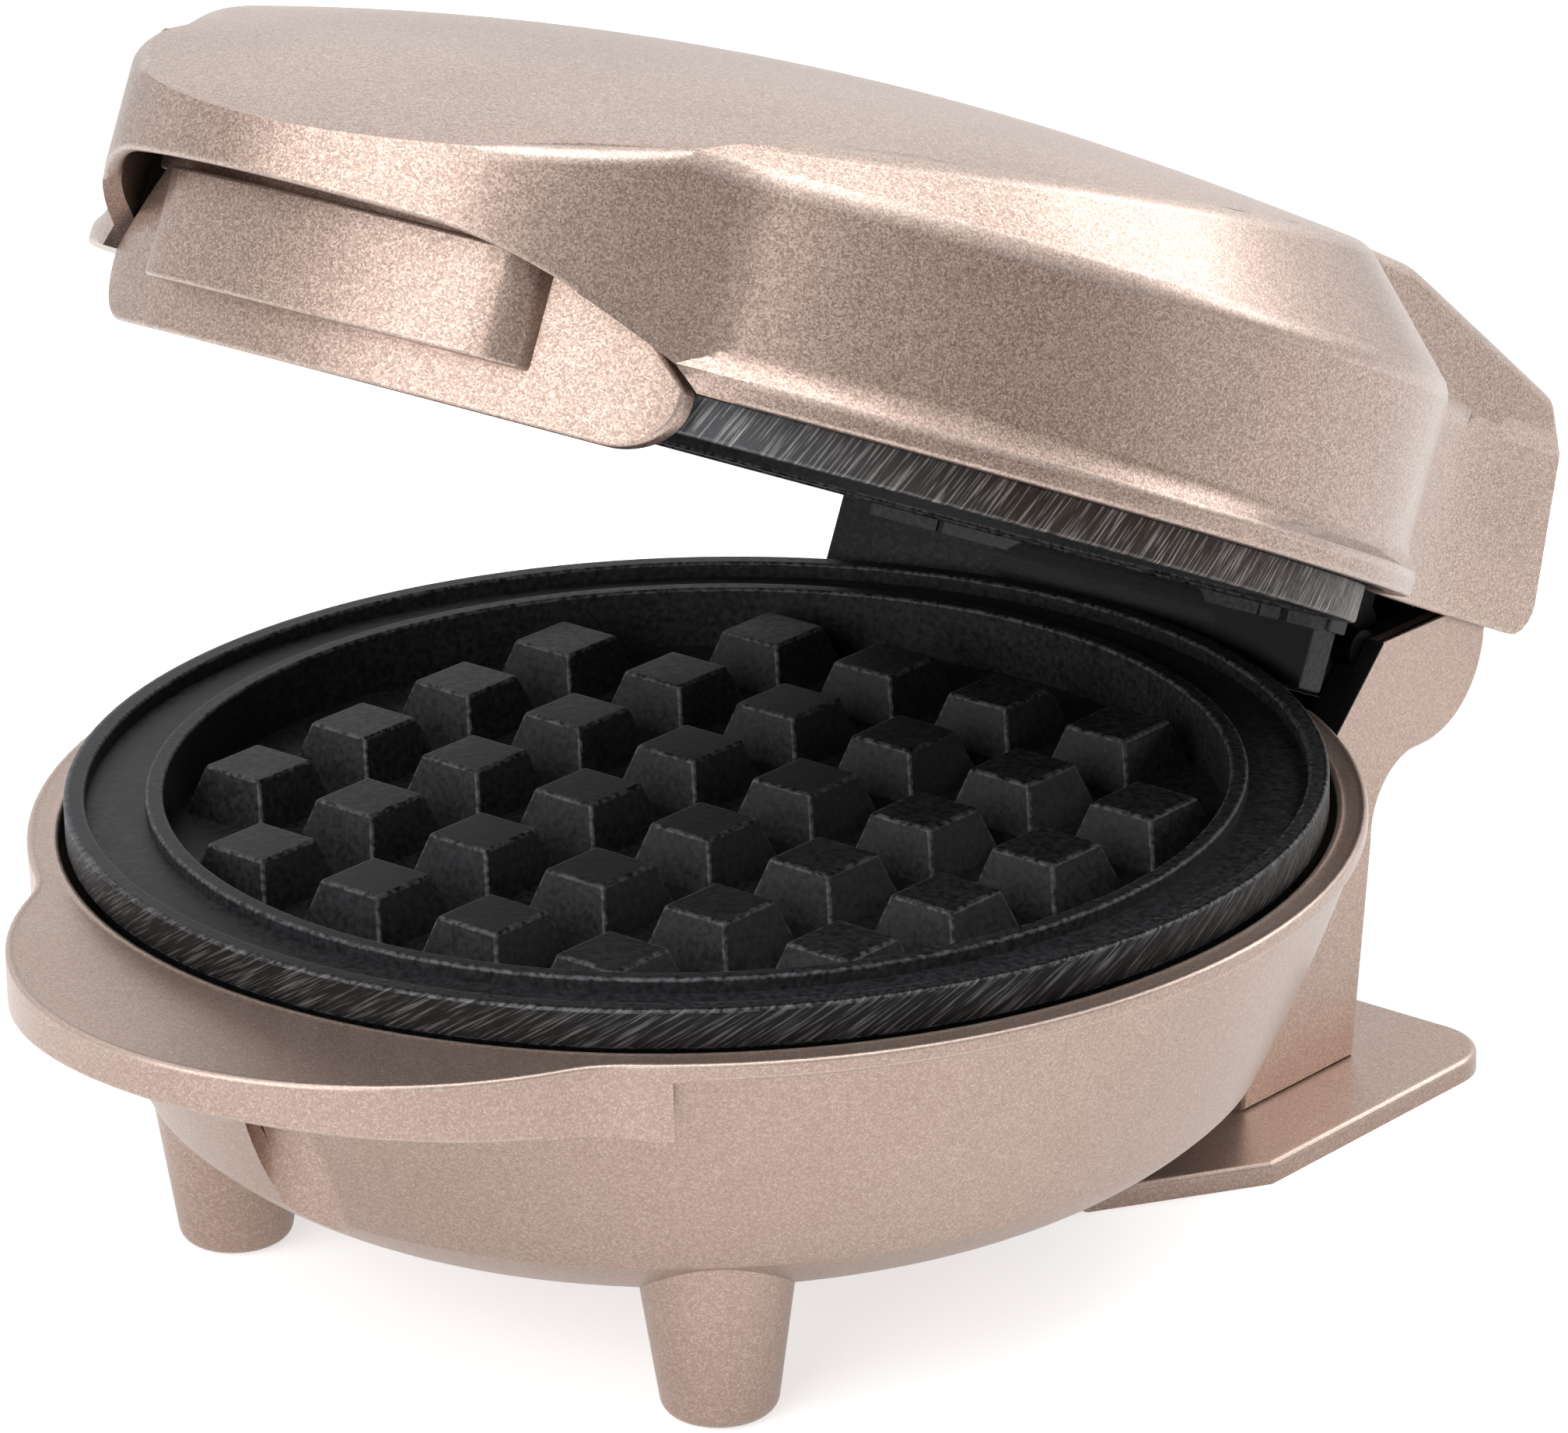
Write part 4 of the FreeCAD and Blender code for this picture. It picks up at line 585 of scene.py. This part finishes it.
def prism(bends: Iterable[tuple[float, float]], half: float, reach: float, segments: int) -> bmesh.types.BMesh:
    """A profile drawn out from left to right, with rounded edges.

    Args:
        bends: Corners of the profile, back and up in millimetres from the plates' centre.
        half: Half the length.
        reach: How far the rounding reaches onto the faces.
        segments: Faces across each rounded edge.

    Returns:
        The bmesh.
    """
    made = bmesh.new()
    face = made.faces.new([made.verts.new((-half, y * MM + PLATE_Y, z * MM)) for y, z in bends])
    run = bmesh.ops.extrude_face_region(made, geom=[face])["geom"]
    bmesh.ops.translate(made, verts=[v for v in run if isinstance(v, bmesh.types.BMVert)], vec=(2 * half, 0.0, 0.0))
    bmesh.ops.recalc_face_normals(made, faces=made.faces)
    soften(made, reach, segments)
    return made


Place = Callable[[Vector], bool]
ANY: Span = (-math.inf, math.inf)


@dataclass(frozen=True)
class Zone:
    """A box in millimetres from the plates' centre with the lid shut, alike on the left and the right."""

    x: Span = ANY
    y: Span = ANY
    z: Span = ANY

    def holds(self, place: Vector) -> bool:
        """Whether a place is inside the box."""
        spans = ((self.x, abs(place.x)), (self.y, place.y), (self.z, place.z))
        return all(low < value < high for (low, high), value in spans)


def clear_of(zones: Iterable[Zone], place: Vector) -> bool:
    """Whether a place is in none of the zones."""
    return not any(zone.holds(place) for zone in zones)


@dataclass(frozen=True)
class Rounding:
    """One pass of edge rounding: how far it reaches onto the faces, and which outer edges it takes."""

    reach: float
    min_angle: float = 25.0
    segments: int = 3
    where: Place = lambda place: True


@dataclass
class Moulding:
    """A CAD node shown as a copy with rounded edges."""

    node: str
    body: Body
    finishes: tuple[Finish, ...]
    roundings: tuple[Rounding, ...]
    weld: float = 3e-6
    sliver: float = 2e-6
    level_angle: float = 0.03
    flat_angle: float = 12.0
    chord_room: float = 2.4
    point_room: float = 2.0
    clear_rounds: int = 12

    def place(self, point: Vector) -> Vector:
        """A point in millimetres from the plates' centre, with the lid shut."""
        return shut_place(point) if self.body is Body.LID else base_place(point)

    def build(self, effects: Effects) -> bpy.types.Object:
        """Merge the node's triangles, round its outer edges, and let the copy stand for the node.

        Args:
            effects: Shader groups.

        Returns:
            The rounded copy.
        """
        made = self.merged()
        self.shape(made)
        mask = made.faces.layers.float.new(ROUNDING)
        for rounding in self.roundings:
            self.round_edges(made, rounding, mask)
        piece = finish_mesh(f"{self.node}_moulding", made, self.body, self.finishes, effects)
        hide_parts(self.node)
        return piece

    def merged(self) -> bmesh.types.BMesh:
        """Copy the node as one closed skin, with its flat faces whole.

        Returns:
            The copy.
        """
        made = bmesh.new()
        made.from_mesh(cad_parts[self.node].data)
        bmesh.ops.remove_doubles(made, verts=made.verts, dist=self.weld)
        bmesh.ops.dissolve_degenerate(made, edges=made.edges, dist=self.sliver)
        bmesh.ops.dissolve_limit(made, angle_limit=math.radians(self.level_angle), verts=made.verts,
                                 edges=made.edges, use_dissolve_boundaries=False, delimit={"NORMAL"})
        return made

    def shape(self, made: bmesh.types.BMesh) -> None:
        """Further shaping before the edges are rounded; a plain moulding has none."""

    def round_edges(self, made: bmesh.types.BMesh, rounding: Rounding, mask: bmesh.types.BMLayerItem) -> None:
        """Round the outer edges that one pass takes, and mark the new faces.

        Args:
            made: The copy.
            rounding: The pass.
            mask: Face layer that marks rounded edges.
        """
        self.clear_way(made, self.chosen(made, rounding), rounding.reach)
        rounded = bmesh.ops.bevel(made, geom=self.chosen(made, rounding), offset=rounding.reach,
                                  offset_type="OFFSET", affect="EDGES", segments=rounding.segments, profile=0.5,
                                  material=-1, clamp_overlap=False, loop_slide=False)["faces"]
        for face in rounded:
            face[mask] = 1.0

    def chosen(self, made: bmesh.types.BMesh, rounding: Rounding) -> list[bmesh.types.BMEdge]:
        """The outer edges that one pass takes."""
        limit = math.radians(rounding.min_angle)
        return [e for e in made.edges if e.is_manifold and e.calc_face_angle_signed(0.0) > limit
                and rounding.where(self.place((e.verts[0].co + e.verts[1].co) / 2))]

    def clear_way(self, made: bmesh.types.BMesh, edges: list[bmesh.types.BMEdge], reach: float) -> None:
        """Merge the small smooth faces beside the chosen edges, so that the rounding has room.

        Args:
            made: The copy.
            edges: Edges that will be rounded.
            reach: How far the rounding reaches onto the faces.
        """
        taken = set(edges)
        # Dictionaries keep their order, where sets of mesh parts would change it from run to run
        chain = dict.fromkeys(v for e in edges for v in e.verts)
        for _ in range(self.clear_rounds):
            chords = {}
            for face in dict.fromkeys(f for v in chain for f in v.link_faces):
                free = [e for e in face.edges if e not in taken]
                if len(free) == 1 and self.is_smooth(free[0]):
                    first, last = (v.co for v in free[0].verts)
                    height = max((intersect_point_line(v.co, first, last)[0] - v.co).length for v in face.verts)
                    if height < self.chord_room * reach:
                        chords[free[0]] = height
            if not chords:
                break
            bmesh.ops.dissolve_edges(made, edges=list(chords), use_verts=False, use_face_split=False)
        near = dict.fromkeys(w for v in chain for w in (e.other_vert(v) for e in v.link_edges)
                             if w not in chain and (w.co - v.co).length < self.point_room * reach
                             and all(self.is_smooth(e) for e in w.link_edges))
        bmesh.ops.dissolve_verts(made, verts=list(near), use_face_split=False, use_boundary_tear=False)

    def is_smooth(self, edge: bmesh.types.BMEdge) -> bool:
        """Whether the faces beside an edge are almost in one plane."""
        return edge.is_manifold and abs(edge.calc_face_angle_signed(math.pi)) < math.radians(self.flat_angle)


@dataclass
class BowlMoulding(Moulding):
    """The bowl, with a bead raised along both edges of its rim."""

    rim_z: float = 62.8
    rim_room: float = 0.05
    level: float = 0.999
    bead: float = 0.9 * MM
    slope: float = 0.6 * MM
    drop: float = 0.24 * MM

    def shape(self, made: bmesh.types.BMesh) -> None:
        """Sink the rim's land between its beads.

        Args:
            made: The copy.
        """
        land = [f for f in made.faces if f.normal.z > self.level
                and abs(self.place(f.calc_center_median()).z - self.rim_z) < self.rim_room]
        bmesh.ops.inset_region(made, faces=land, thickness=self.bead, use_even_offset=True, use_boundary=True)
        bmesh.ops.inset_region(made, faces=land, thickness=self.slope, depth=-self.drop, use_even_offset=True,
                               use_boundary=True)


@dataclass
class ColumnMoulding(Moulding):
    """The column, with black linings between its cheeks and a seam along their outer panels."""

    lining: float = 43.4
    seam: Span = (44.9, 45.55)
    seam_depth: float = 0.7 * MM
    seam_slope: float = 0.01 * MM
    top: Zone = Zone(x=(39.0, math.inf), z=(50.0, math.inf))
    top_lean: float = 0.2
    trough: Zone = Zone(y=(88.0, math.inf), z=(44.0, math.inf))

    def shape(self, made: bmesh.types.BMesh) -> None:
        """Split the cheeks' edges at the lining and the seam, sink the seam, and paint both black.

        Args:
            made: The copy.
        """
        for x in (self.lining, *self.seam):
            for side in (-1, 1):
                bmesh.ops.bisect_plane(made, geom=with_parts(f for f in made.faces if self.on_top(f)), dist=SNAP,
                                       plane_co=(side * x * MM, 0.0, 0.0), plane_no=(1.0, 0.0, 0.0))
        strip = [f for f in made.faces if self.on_top(f)
                 and self.seam[0] < abs(self.place(f.calc_center_median()).x) < self.seam[1]]
        walls = bmesh.ops.inset_region(made, faces=strip, thickness=self.seam_slope, depth=-self.seam_depth,
                                       use_even_offset=True, use_boundary=True)["faces"]
        lined = [f for f in made.faces if self.in_trough(self.place(f.calc_center_median()))]
        for face in (*strip, *walls, *lined):
            face.material_index = 1

    def on_top(self, face: bmesh.types.BMFace) -> bool:
        """Whether a face is on the cheeks' upper edge."""
        return face.normal.z > self.top_lean and self.top.holds(self.place(face.calc_center_median()))

    def in_trough(self, place: Vector) -> bool:
        """Whether a place is in the hinge trough or on the cheeks' linings."""
        return abs(place.x) < self.lining and self.trough.holds(place)


@dataclass
class LidMoulding(Moulding):
    """The lid, with the lower corner of its rear block cut to a round."""

    corner: tuple[float, float] = (134.2, 74.2)
    rear_lean: float = 10.5
    radius: float = 5.0
    cuts: int = 5

    def shape(self, made: bmesh.types.BMesh) -> None:
        """Cut the corner along planes that touch the round, and close each cut.

        Args:
            made: The copy.
        """
        rear = Vector((0.0, math.cos(math.radians(self.rear_lean)), math.sin(math.radians(self.rear_lean))))
        down = Vector((0.0, 0.0, -1.0))
        corner = Vector((0.0, *self.corner))
        centre = corner - (rear + down) * self.radius / (1 + rear.dot(down))
        for step in range(self.cuts):
            way = rear.slerp(down, (step + 0.5) / self.cuts)
            touch = centre + way * self.radius - Vector((0.0, HINGE_REACH / MM, HINGE_Z / MM))
            cut = bmesh.ops.bisect_plane(made, geom=[*made.verts, *made.edges, *made.faces], dist=FINE_SNAP,
                                         plane_co=HINGE + OPENING @ (touch * MM), plane_no=OPENING @ way,
                                         clear_outer=True)["geom_cut"]
            rim = [e for e in cut if isinstance(e, bmesh.types.BMEdge) and e.is_boundary]
            bmesh.ops.triangle_fill(made, edges=rim, use_beauty=True, use_dissolve=True)
        bmesh.ops.recalc_face_normals(made, faces=made.faces)


@dataclass
class TabMoulding(Moulding):
    """The tab, with both ends of its grip curved back."""

    grip_half: float = 33.6
    grip_radius: float = 100.5
    curve_run: float = 9.0
    curve_depth: float = 4.4
    loops: tuple[float, ...] = (0.3, 1.0, 2.0, 3.4, 5.2, 7.2, 9.0)

    def shape(self, made: bmesh.types.BMesh) -> None:
        """Add loops near the ends of the grip's face, then draw them back along a quarter ellipse.

        Args:
            made: The copy.
        """
        for side in (-1, 1):
            for loop in self.loops:
                face = [f for f in made.faces if all(self.on_face(v) for v in f.verts)]
                bmesh.ops.bisect_plane(made, geom=with_parts(face), dist=FINE_SNAP, plane_no=(1.0, 0.0, 0.0),
                                       plane_co=(side * (self.grip_half - loop) * MM, 0.0, 0.0))
        back = OPENING @ Vector((0.0, MM, 0.0))
        for vert in [v for v in made.verts if self.on_face(v)]:
            near = 1.0 - (self.grip_half - abs(vert.co.x) / MM) / self.curve_run
            if near > 0.0:
                vert.co += back * self.curve_depth * (1.0 - math.sqrt(max(0.0, 1.0 - min(near, 1.0) ** 2)))
        bmesh.ops.recalc_face_normals(made, faces=made.faces)

    def on_face(self, vert: bmesh.types.BMVert) -> bool:
        """Whether a vertex lies on the grip's face."""
        place = shut_place(vert.co)
        return math.hypot(place.x, place.y) > self.grip_radius


# Sub-assemblies


@dataclass
class BaseUnit:
    """Bowl, column and foot plate."""

    side_x: float = 45.9
    seam_z: float = 54.0
    slant_y: float = 104.0
    side_top: float = 66.9
    bowl_edge: float = 0.6 * MM
    side_edge: float = 0.6 * MM
    seam_edge: float = 0.3 * MM
    foot_edge: float = 0.9 * MM
    foot_angle: float = 30.0
    foot_top: float = 3.0
    # In the notch, beside the tongue and at the column's seat
    bowl_sharp: tuple[Zone, ...] = (
        Zone(x=(-math.inf, 12.0), y=(-math.inf, -70.0), z=(-math.inf, 56.0)),
        Zone(x=(46.0, 64.0), y=(-86.0, -64.0), z=(-math.inf, 60.5)),
        Zone(y=(76.0, math.inf), z=(-math.inf, 58.0)),
    )

    def build(self, effects: Effects) -> None:
        """Build the base's mouldings.

        Args:
            effects: Shader groups.
        """
        bowl = Rounding(self.bowl_edge, where=lambda place: clear_of(self.bowl_sharp, place))
        sides = Rounding(self.side_edge, where=lambda place: abs(place.x) > self.side_x and not self.by_seam(place))
        seams = Rounding(self.seam_edge, where=lambda place: abs(place.x) > self.side_x and self.by_seam(place))
        foot = Rounding(self.foot_edge, self.foot_angle, where=lambda place: place.z > self.foot_top)
        BowlMoulding("base_housing", Body.BASE, (PAINT,), (bowl,)).build(effects)
        ColumnMoulding("hinge_column", Body.BASE, (PAINT, BLACK), (sides, seams)).build(effects)
        Moulding("rear_foot_plate", Body.BASE, (PAINT,), (foot,)).build(effects)

    def by_seam(self, place: Vector) -> bool:
        """Whether an edge of the column runs beside the seam on the cheeks' upper edge."""
        return place.z > self.side_top or (place.z > self.seam_z and place.y < self.slant_y)


@dataclass
class LidUnit:
    """Domed lid with its handle and two posts."""

    form_z: float = 98.0
    form_edge: float = 1.8 * MM
    form_angle: float = 14.0
    form_segments: int = 5
    # Where the roof's outline meets the nose, and beside the rear block
    form_sharp: tuple[Zone, ...] = (
        Zone(y=(-math.inf, -74.0), z=(103.75, math.inf)),
        Zone(x=(44.0, math.inf), y=(99.0, 116.0), z=(-math.inf, 107.0)),
    )
    lip_top: float = 88.0
    lip_edge: float = 0.7 * MM
    # At the rear corners and at the ends of the arch
    lip_sharp: tuple[Zone, ...] = (
        Zone(x=(46.0, math.inf), y=(124.0, math.inf)),
        Zone(x=(40.0, 58.0), y=(-94.0, -74.0)),
    )
    tab_edge: float = 0.6 * MM
    post_place: tuple[float, float] = (58.2 * MM, -71.0 * MM)
    post_profile: tuple[tuple[float, float], ...] = (
        (0.0, 105.0), (1.0, 105.0), (1.05, 85.9), (0.8, 85.3), (0.45, 85.2), (0.36, 78.6), (0.0, 78.4))
    post_sides: int = 20
    tip_top: float = 80.0 * MM
    tip_lean: tuple[float, float] = (1.0 * MM, -1.2 * MM)

    def build(self, effects: Effects) -> None:
        """Build the lid's mouldings.

        Args:
            effects: Shader groups.
        """
        form = Rounding(self.form_edge, self.form_angle, self.form_segments,
                        lambda place: place.z > self.form_z and clear_of(self.form_sharp, place))
        lip = Rounding(self.lip_edge, where=lambda place: place.z <= self.lip_top and clear_of(self.lip_sharp, place))
        LidMoulding("lid_housing", Body.LID, (COARSE_PAINT,), (form, lip)).build(effects)
        TabMoulding("handle_tab", Body.LID, (COARSE_PAINT,), (Rounding(self.tab_edge),)).build(effects)
        for side in (-1, 1):
            self.post(side, effects)

    def post(self, side: int, effects: Effects) -> bpy.types.Object:
        """A slim post that hangs from the lid's roof beside the handle, with a pin that leans to the lip.

        Args:
            side: 1 for the right post, -1 for the left.
            effects: Shader groups.

        Returns:
            The post.
        """
        made = bmesh.new()
        rows = [made.verts.new((r * MM, 0.0, z * MM)) for r, z in self.post_profile]
        edges = [made.edges.new(pair) for pair in zip(rows, rows[1:])]
        bmesh.ops.spin(made, geom=[*rows, *edges], cent=(0, 0, 0), axis=(0, 0, 1), angle=2 * math.pi,
                       steps=self.post_sides, use_merge=True)
        bmesh.ops.remove_doubles(made, verts=made.verts, dist=SNAP)
        bmesh.ops.recalc_face_normals(made, faces=made.faces)
        tip = [v for v in made.verts if v.co.z < self.tip_top]
        bmesh.ops.translate(made, verts=tip, vec=(side * self.tip_lean[0], self.tip_lean[1], 0.0))
        x, y = self.post_place
        bmesh.ops.translate(made, verts=made.verts, vec=(side * x, y + PLATE_Y, 0.0))
        opened(made)
        return finish_mesh(f"visor_post_{'right' if side > 0 else 'left'}", made, Body.LID, (PAINT,), effects)


@dataclass
class PlatePair:
    """The two cast plates."""

    edge: Rounding = Rounding(0.5 * MM)

    def build(self, effects: Effects) -> None:
        """Build both plates.

        Args:
            effects: Shader groups.
        """
        Moulding("lower_plate", Body.BASE, (LOWER_COAT,), (self.edge,)).build(effects)
        Moulding("upper_plate", Body.LID, (UPPER_COAT,), (self.edge,)).build(effects)


@dataclass
class HingeUnit:
    """Hinge block with the pads on its face, the shroud behind it and the bar between the column's cheeks."""

    block_edge: Rounding = Rounding(0.5 * MM, min_angle=30.0)
    pad_radius: float = 95.0 * MM
    pad_proud: float = 0.5 * MM
    pad_z: Span = (67.0 * MM, 72.0 * MM)
    pad_runs: tuple[Span, ...] = ((-41.0, -31.0), (-30.0, 3.0), (5.0, 31.0), (31.6, 36.5), (38.6, 45.5))
    pad_steps: int = 12
    end_x: Span = (45.0 * MM, 46.0 * MM)
    end_y: Span = (86.6 * MM, 91.0 * MM)
    end_z: Span = (67.2 * MM, 71.6 * MM)
    end_edge: float = 0.3 * MM
    bar_half: float = 40.3 * MM
    bar_bends: tuple[tuple[float, float], ...] = ((112.4, 48.6), (114.1, 48.6), (116.2, 51.1), (115.3, 51.9))
    bar_edge: float = 0.2 * MM
    shroud_half: float = 39.2 * MM
    shroud_bends: tuple[tuple[float, float], ...] = (
        (105.6, 76.0), (115.6, 76.0), (115.6, 69.0), (116.8, 69.0), (116.8, 77.2), (105.6, 77.2))
    shroud_edge: float = 0.4 * MM

    def build(self, effects: Effects) -> None:
        """Build the block, its pads, the shroud that closes the gap behind the pin, and the bar from cheek to cheek.

        Args:
            effects: Shader groups.
        """
        Moulding("hinge_block", Body.LID, (BLACK,), (self.block_edge,)).build(effects)
        for number, (start, stop) in enumerate(self.pad_runs, start=1):
            self.pad(f"hinge_pad_{number}", start * MM, stop * MM, effects)
        for side in (-1, 1):
            self.end_pad(side, effects)
        shroud = prism(self.shroud_bends, self.shroud_half, self.shroud_edge, segments=3)
        opened(shroud)
        finish_mesh("hinge_shroud", shroud, Body.LID, (BLACK,), effects)
        bar = prism(self.bar_bends, self.bar_half, self.bar_edge, segments=2)
        finish_mesh("hinge_bar", bar, Body.BASE, (BLACK,), effects)

    def end_pad(self, side: int, effects: Effects) -> bpy.types.Object:
        """A pad on one end of the block.

        Args:
            side: 1 for the right end, -1 for the left.
            effects: Shader groups.

        Returns:
            The pad.
        """
        made = bmesh.new()
        bmesh.ops.create_cube(made, size=1.0)
        spans = [(high - low, (high + low) / 2) for low, high in (self.end_x, self.end_y, self.end_z)]
        bmesh.ops.scale(made, verts=made.verts, vec=[span[0] for span in spans])
        bmesh.ops.translate(made, verts=made.verts, vec=(side * spans[0][1], spans[1][1] + PLATE_Y, spans[2][1]))
        soften(made, self.end_edge, segments=2)
        opened(made)
        return finish_mesh(f"hinge_end_pad_{'right' if side > 0 else 'left'}", made, Body.LID, (PAD,), effects)

    def pad(self, name: str, start: float, stop: float, effects: Effects) -> bpy.types.Object:
        """A shallow pad that follows the block's curved face.

        Args:
            name: Name of the piece.
            start: Left end, as a distance across the lid.
            stop: Right end.
            effects: Shader groups.

        Returns:
            The pad.
        """
        made = bmesh.new()
        inner, outer = self.pad_radius - self.pad_proud, self.pad_radius + self.pad_proud
        low, high = self.pad_z
        first, last = (math.acos(x / self.pad_radius) for x in (start, stop))
        corners = [made.verts.new((r * math.cos(first), r * math.sin(first), z))
                   for r, z in ((inner, low), (outer, low), (outer, high), (inner, high))]
        profile = made.faces.new(corners)
        bmesh.ops.spin(made, geom=[profile, *profile.edges, *profile.verts], cent=(0, 0, 0), axis=(0, 0, 1),
                       angle=last - first, steps=self.pad_steps, use_merge=False)
        bmesh.ops.contextual_create(made, geom=[e for e in made.edges if e.is_boundary])
        bmesh.ops.recalc_face_normals(made, faces=made.faces)
        bmesh.ops.translate(made, verts=made.verts, vec=(0.0, PLATE_Y, 0.0))
        opened(made)
        return finish_mesh(name, made, Body.LID, (PAD,), effects)


def dress_inner_parts(effects: Effects) -> None:
    """Give every CAD node that is shown as it is the finish of its kind.

    Args:
        effects: Shader groups.
    """
    kinds = {
        SHEET: ("lower_heat_shield", "upper_heat_shield", "thermostat", "thermal_fuse"),
        HEATER: ("lower_element", "upper_element", "lower_element_pins", "upper_element_pins"),
        ZINC: ("lower_plate_screws", "foot_plate_screws", "handle_screws", "upper_plate_screws", "shield_screws",
               "hinge_block_screws"),
        BLUED: ("hinge_pin",),
        CERAMIC: ("terminal_block", "lid_terminal_block"),
        RUBBER: ("foot_pads", "cord_gland", "mains_lead"),
        BLACK: ("hinge_tray",),
    }
    for finish, names in kinds.items():
        for name in names:
            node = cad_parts[name]
            node.data.materials.clear()
            node.data.materials.append(finish.material(effects))
            log.info("%s: %s", name, finish.name)


# Studio


@dataclass(frozen=True)
class Softbox:
    """A square lamp that faces the object."""

    name: str
    place: tuple[float, float, float]
    size: float
    power: float
    aim: tuple[float, float, float] = (0.0, 0.0, 0.09)

    def build(self) -> None:
        """Add the lamp."""
        data = bpy.data.lights.new(self.name, "AREA")
        data.size = self.size
        data.energy = self.power
        lamp = bpy.data.objects.new(self.name, data)
        lamp.location = self.place
        lamp.rotation_euler = (Vector(self.aim) - Vector(self.place)).to_track_quat("-Z", "Y").to_euler()
        bpy.context.scene.collection.objects.link(lamp)


@dataclass
class Studio:
    """Pale floor, soft lamps, even surrounding light and the camera."""

    floor_half: float = 6.0
    floor_colour: Colour = (0.88, 0.88, 0.88)
    floor_dim: Colour = (0.42, 0.41, 0.40)
    floor_glow: float = 0.62
    mirror_glow: float = 0.38
    ambient: float = 0.24
    horizon: float = 0.17
    zenith: float = 0.70
    backdrop: tuple[float, float, float] = (-0.66, 0.75, 0.0)
    backdrop_span: Span = (-0.4, 0.5)
    camera_place: tuple[float, float, float] = (0.6817, -0.78005, 0.4606)
    azimuth: float = math.radians(41.0)
    elevation: float = math.radians(20.6)
    roll: float = math.radians(-1.23)
    lens: float = 176.79
    sensor: float = 36.0
    clip_start: float = 0.01
    boxes: tuple[Softbox, ...] = field(default_factory=lambda: (
        Softbox("lamp_over", (0.10, 0.05, 1.25), 1.0, 9.0),
        Softbox("lamp_back", (0.24, 0.95, 0.85), 0.55, 3.5),
        Softbox("lamp_right", (0.80, 1.05, 0.60), 0.40, 2.5),
        Softbox("lamp_front", (-0.05, -1.20, 0.62), 1.45, 16.0),
    ))

    def build(self) -> None:
        """Set up floor, world, lamps and camera."""
        self.floor()
        self.world()
        for box in self.boxes:
            box.build()
        self.camera()
        bpy.context.scene.view_settings.view_transform = "Standard"

    def floor(self) -> None:
        """Pale floor that also glows a little to the camera, so that it reads as white and keeps a soft shadow."""
        made = bmesh.new()
        bmesh.ops.create_grid(made, x_segments=1, y_segments=1, size=self.floor_half)
        mesh = bpy.data.meshes.new("floor")
        made.to_mesh(mesh)
        made.free()
        ground = bpy.data.objects.new("floor", mesh)
        bpy.context.scene.collection.objects.link(ground)
        finish = bpy.data.materials.new("floor_white")
        finish.use_nodes = True
        graph = Graph(finish.node_tree)
        rays = graph.add("LightPath")
        camera, mirrored = rays.outputs["Is Camera Ray"], rays.outputs["Is Glossy Ray"]
        seen = graph.math("MAXIMUM", camera, mirrored)
        matt = graph.add("BsdfDiffuse", {"Color": graph.mix(seen, self.floor_dim, self.floor_colour)})
        glow = graph.add("Emission", {"Strength": graph.weigh(camera, self.floor_glow, mirrored, self.mirror_glow)})
        both = graph.add("AddShader", {0: matt.outputs[0], 1: glow.outputs[0]})
        graph.add("OutputMaterial", {"Surface": both.outputs[0]})
        mesh.materials.append(finish)

    def world(self) -> None:
        """Even surrounding light, white to the camera; reflections see a white backdrop and a dim room before it."""
        sky = bpy.data.worlds.new("studio")
        bpy.context.scene.world = sky
        sky.use_nodes = True
        graph = Graph(sky.node_tree)
        rays = graph.add("LightPath")
        way = graph.add("TexCoord").outputs["Generated"]
        height = graph.add("SeparateXYZ", {0: way}).outputs["Z"]
        behind = graph.add("VectorMath", {0: way, 1: self.backdrop}, operation="DOT_PRODUCT").outputs["Value"]
        shown = graph.math("MAXIMUM", graph.ramp(height, 0.0, self.zenith, self.horizon, 1.0),
                           graph.ramp(behind, *self.backdrop_span, self.horizon, 1.0))
        bent = graph.math("MAXIMUM", rays.outputs["Is Glossy Ray"], rays.outputs["Is Transmission Ray"])
        seen = graph.math("MAXIMUM", rays.outputs["Is Camera Ray"], graph.math("MULTIPLY", bent, shown))
        strength = graph.math("MAXIMUM", seen, self.ambient)
        light = graph.add("Background", {"Color": (1.0, 1.0, 1.0, 1.0), "Strength": strength})
        graph.add("OutputWorld", {"Surface": light.outputs[0]})

    def camera(self) -> None:
        """Camera at the photographed angle."""
        data = bpy.data.cameras.new("camera")
        data.sensor_width = self.sensor
        data.lens = self.lens
        data.clip_start = self.clip_start
        eye = bpy.data.objects.new("camera", data)
        bpy.context.scene.collection.objects.link(eye)
        back = Vector((math.sin(self.azimuth) * math.cos(self.elevation),
                       -math.cos(self.azimuth) * math.cos(self.elevation), math.sin(self.elevation)))
        right = Vector((math.cos(self.azimuth), math.sin(self.azimuth), 0.0))
        up = back.cross(right)
        turn = Matrix((right, up, back)).transposed() @ Matrix.Rotation(self.roll, 3, "Z")
        eye.matrix_world = Matrix.Translation(self.camera_place) @ turn.to_4x4()
        bpy.context.scene.camera = eye


def main() -> None:
    """Dress the frame, set up the studio, and report each piece."""
    logging.basicConfig(level=logging.INFO, format="%(name)s %(message)s")
    Studio().build()
    effects = Effects()
    for unit in (BaseUnit(), LidUnit(), PlatePair(), HingeUnit()):
        unit.build(effects)
    dress_inner_parts(effects)


if __name__ == "__main__":
    main()
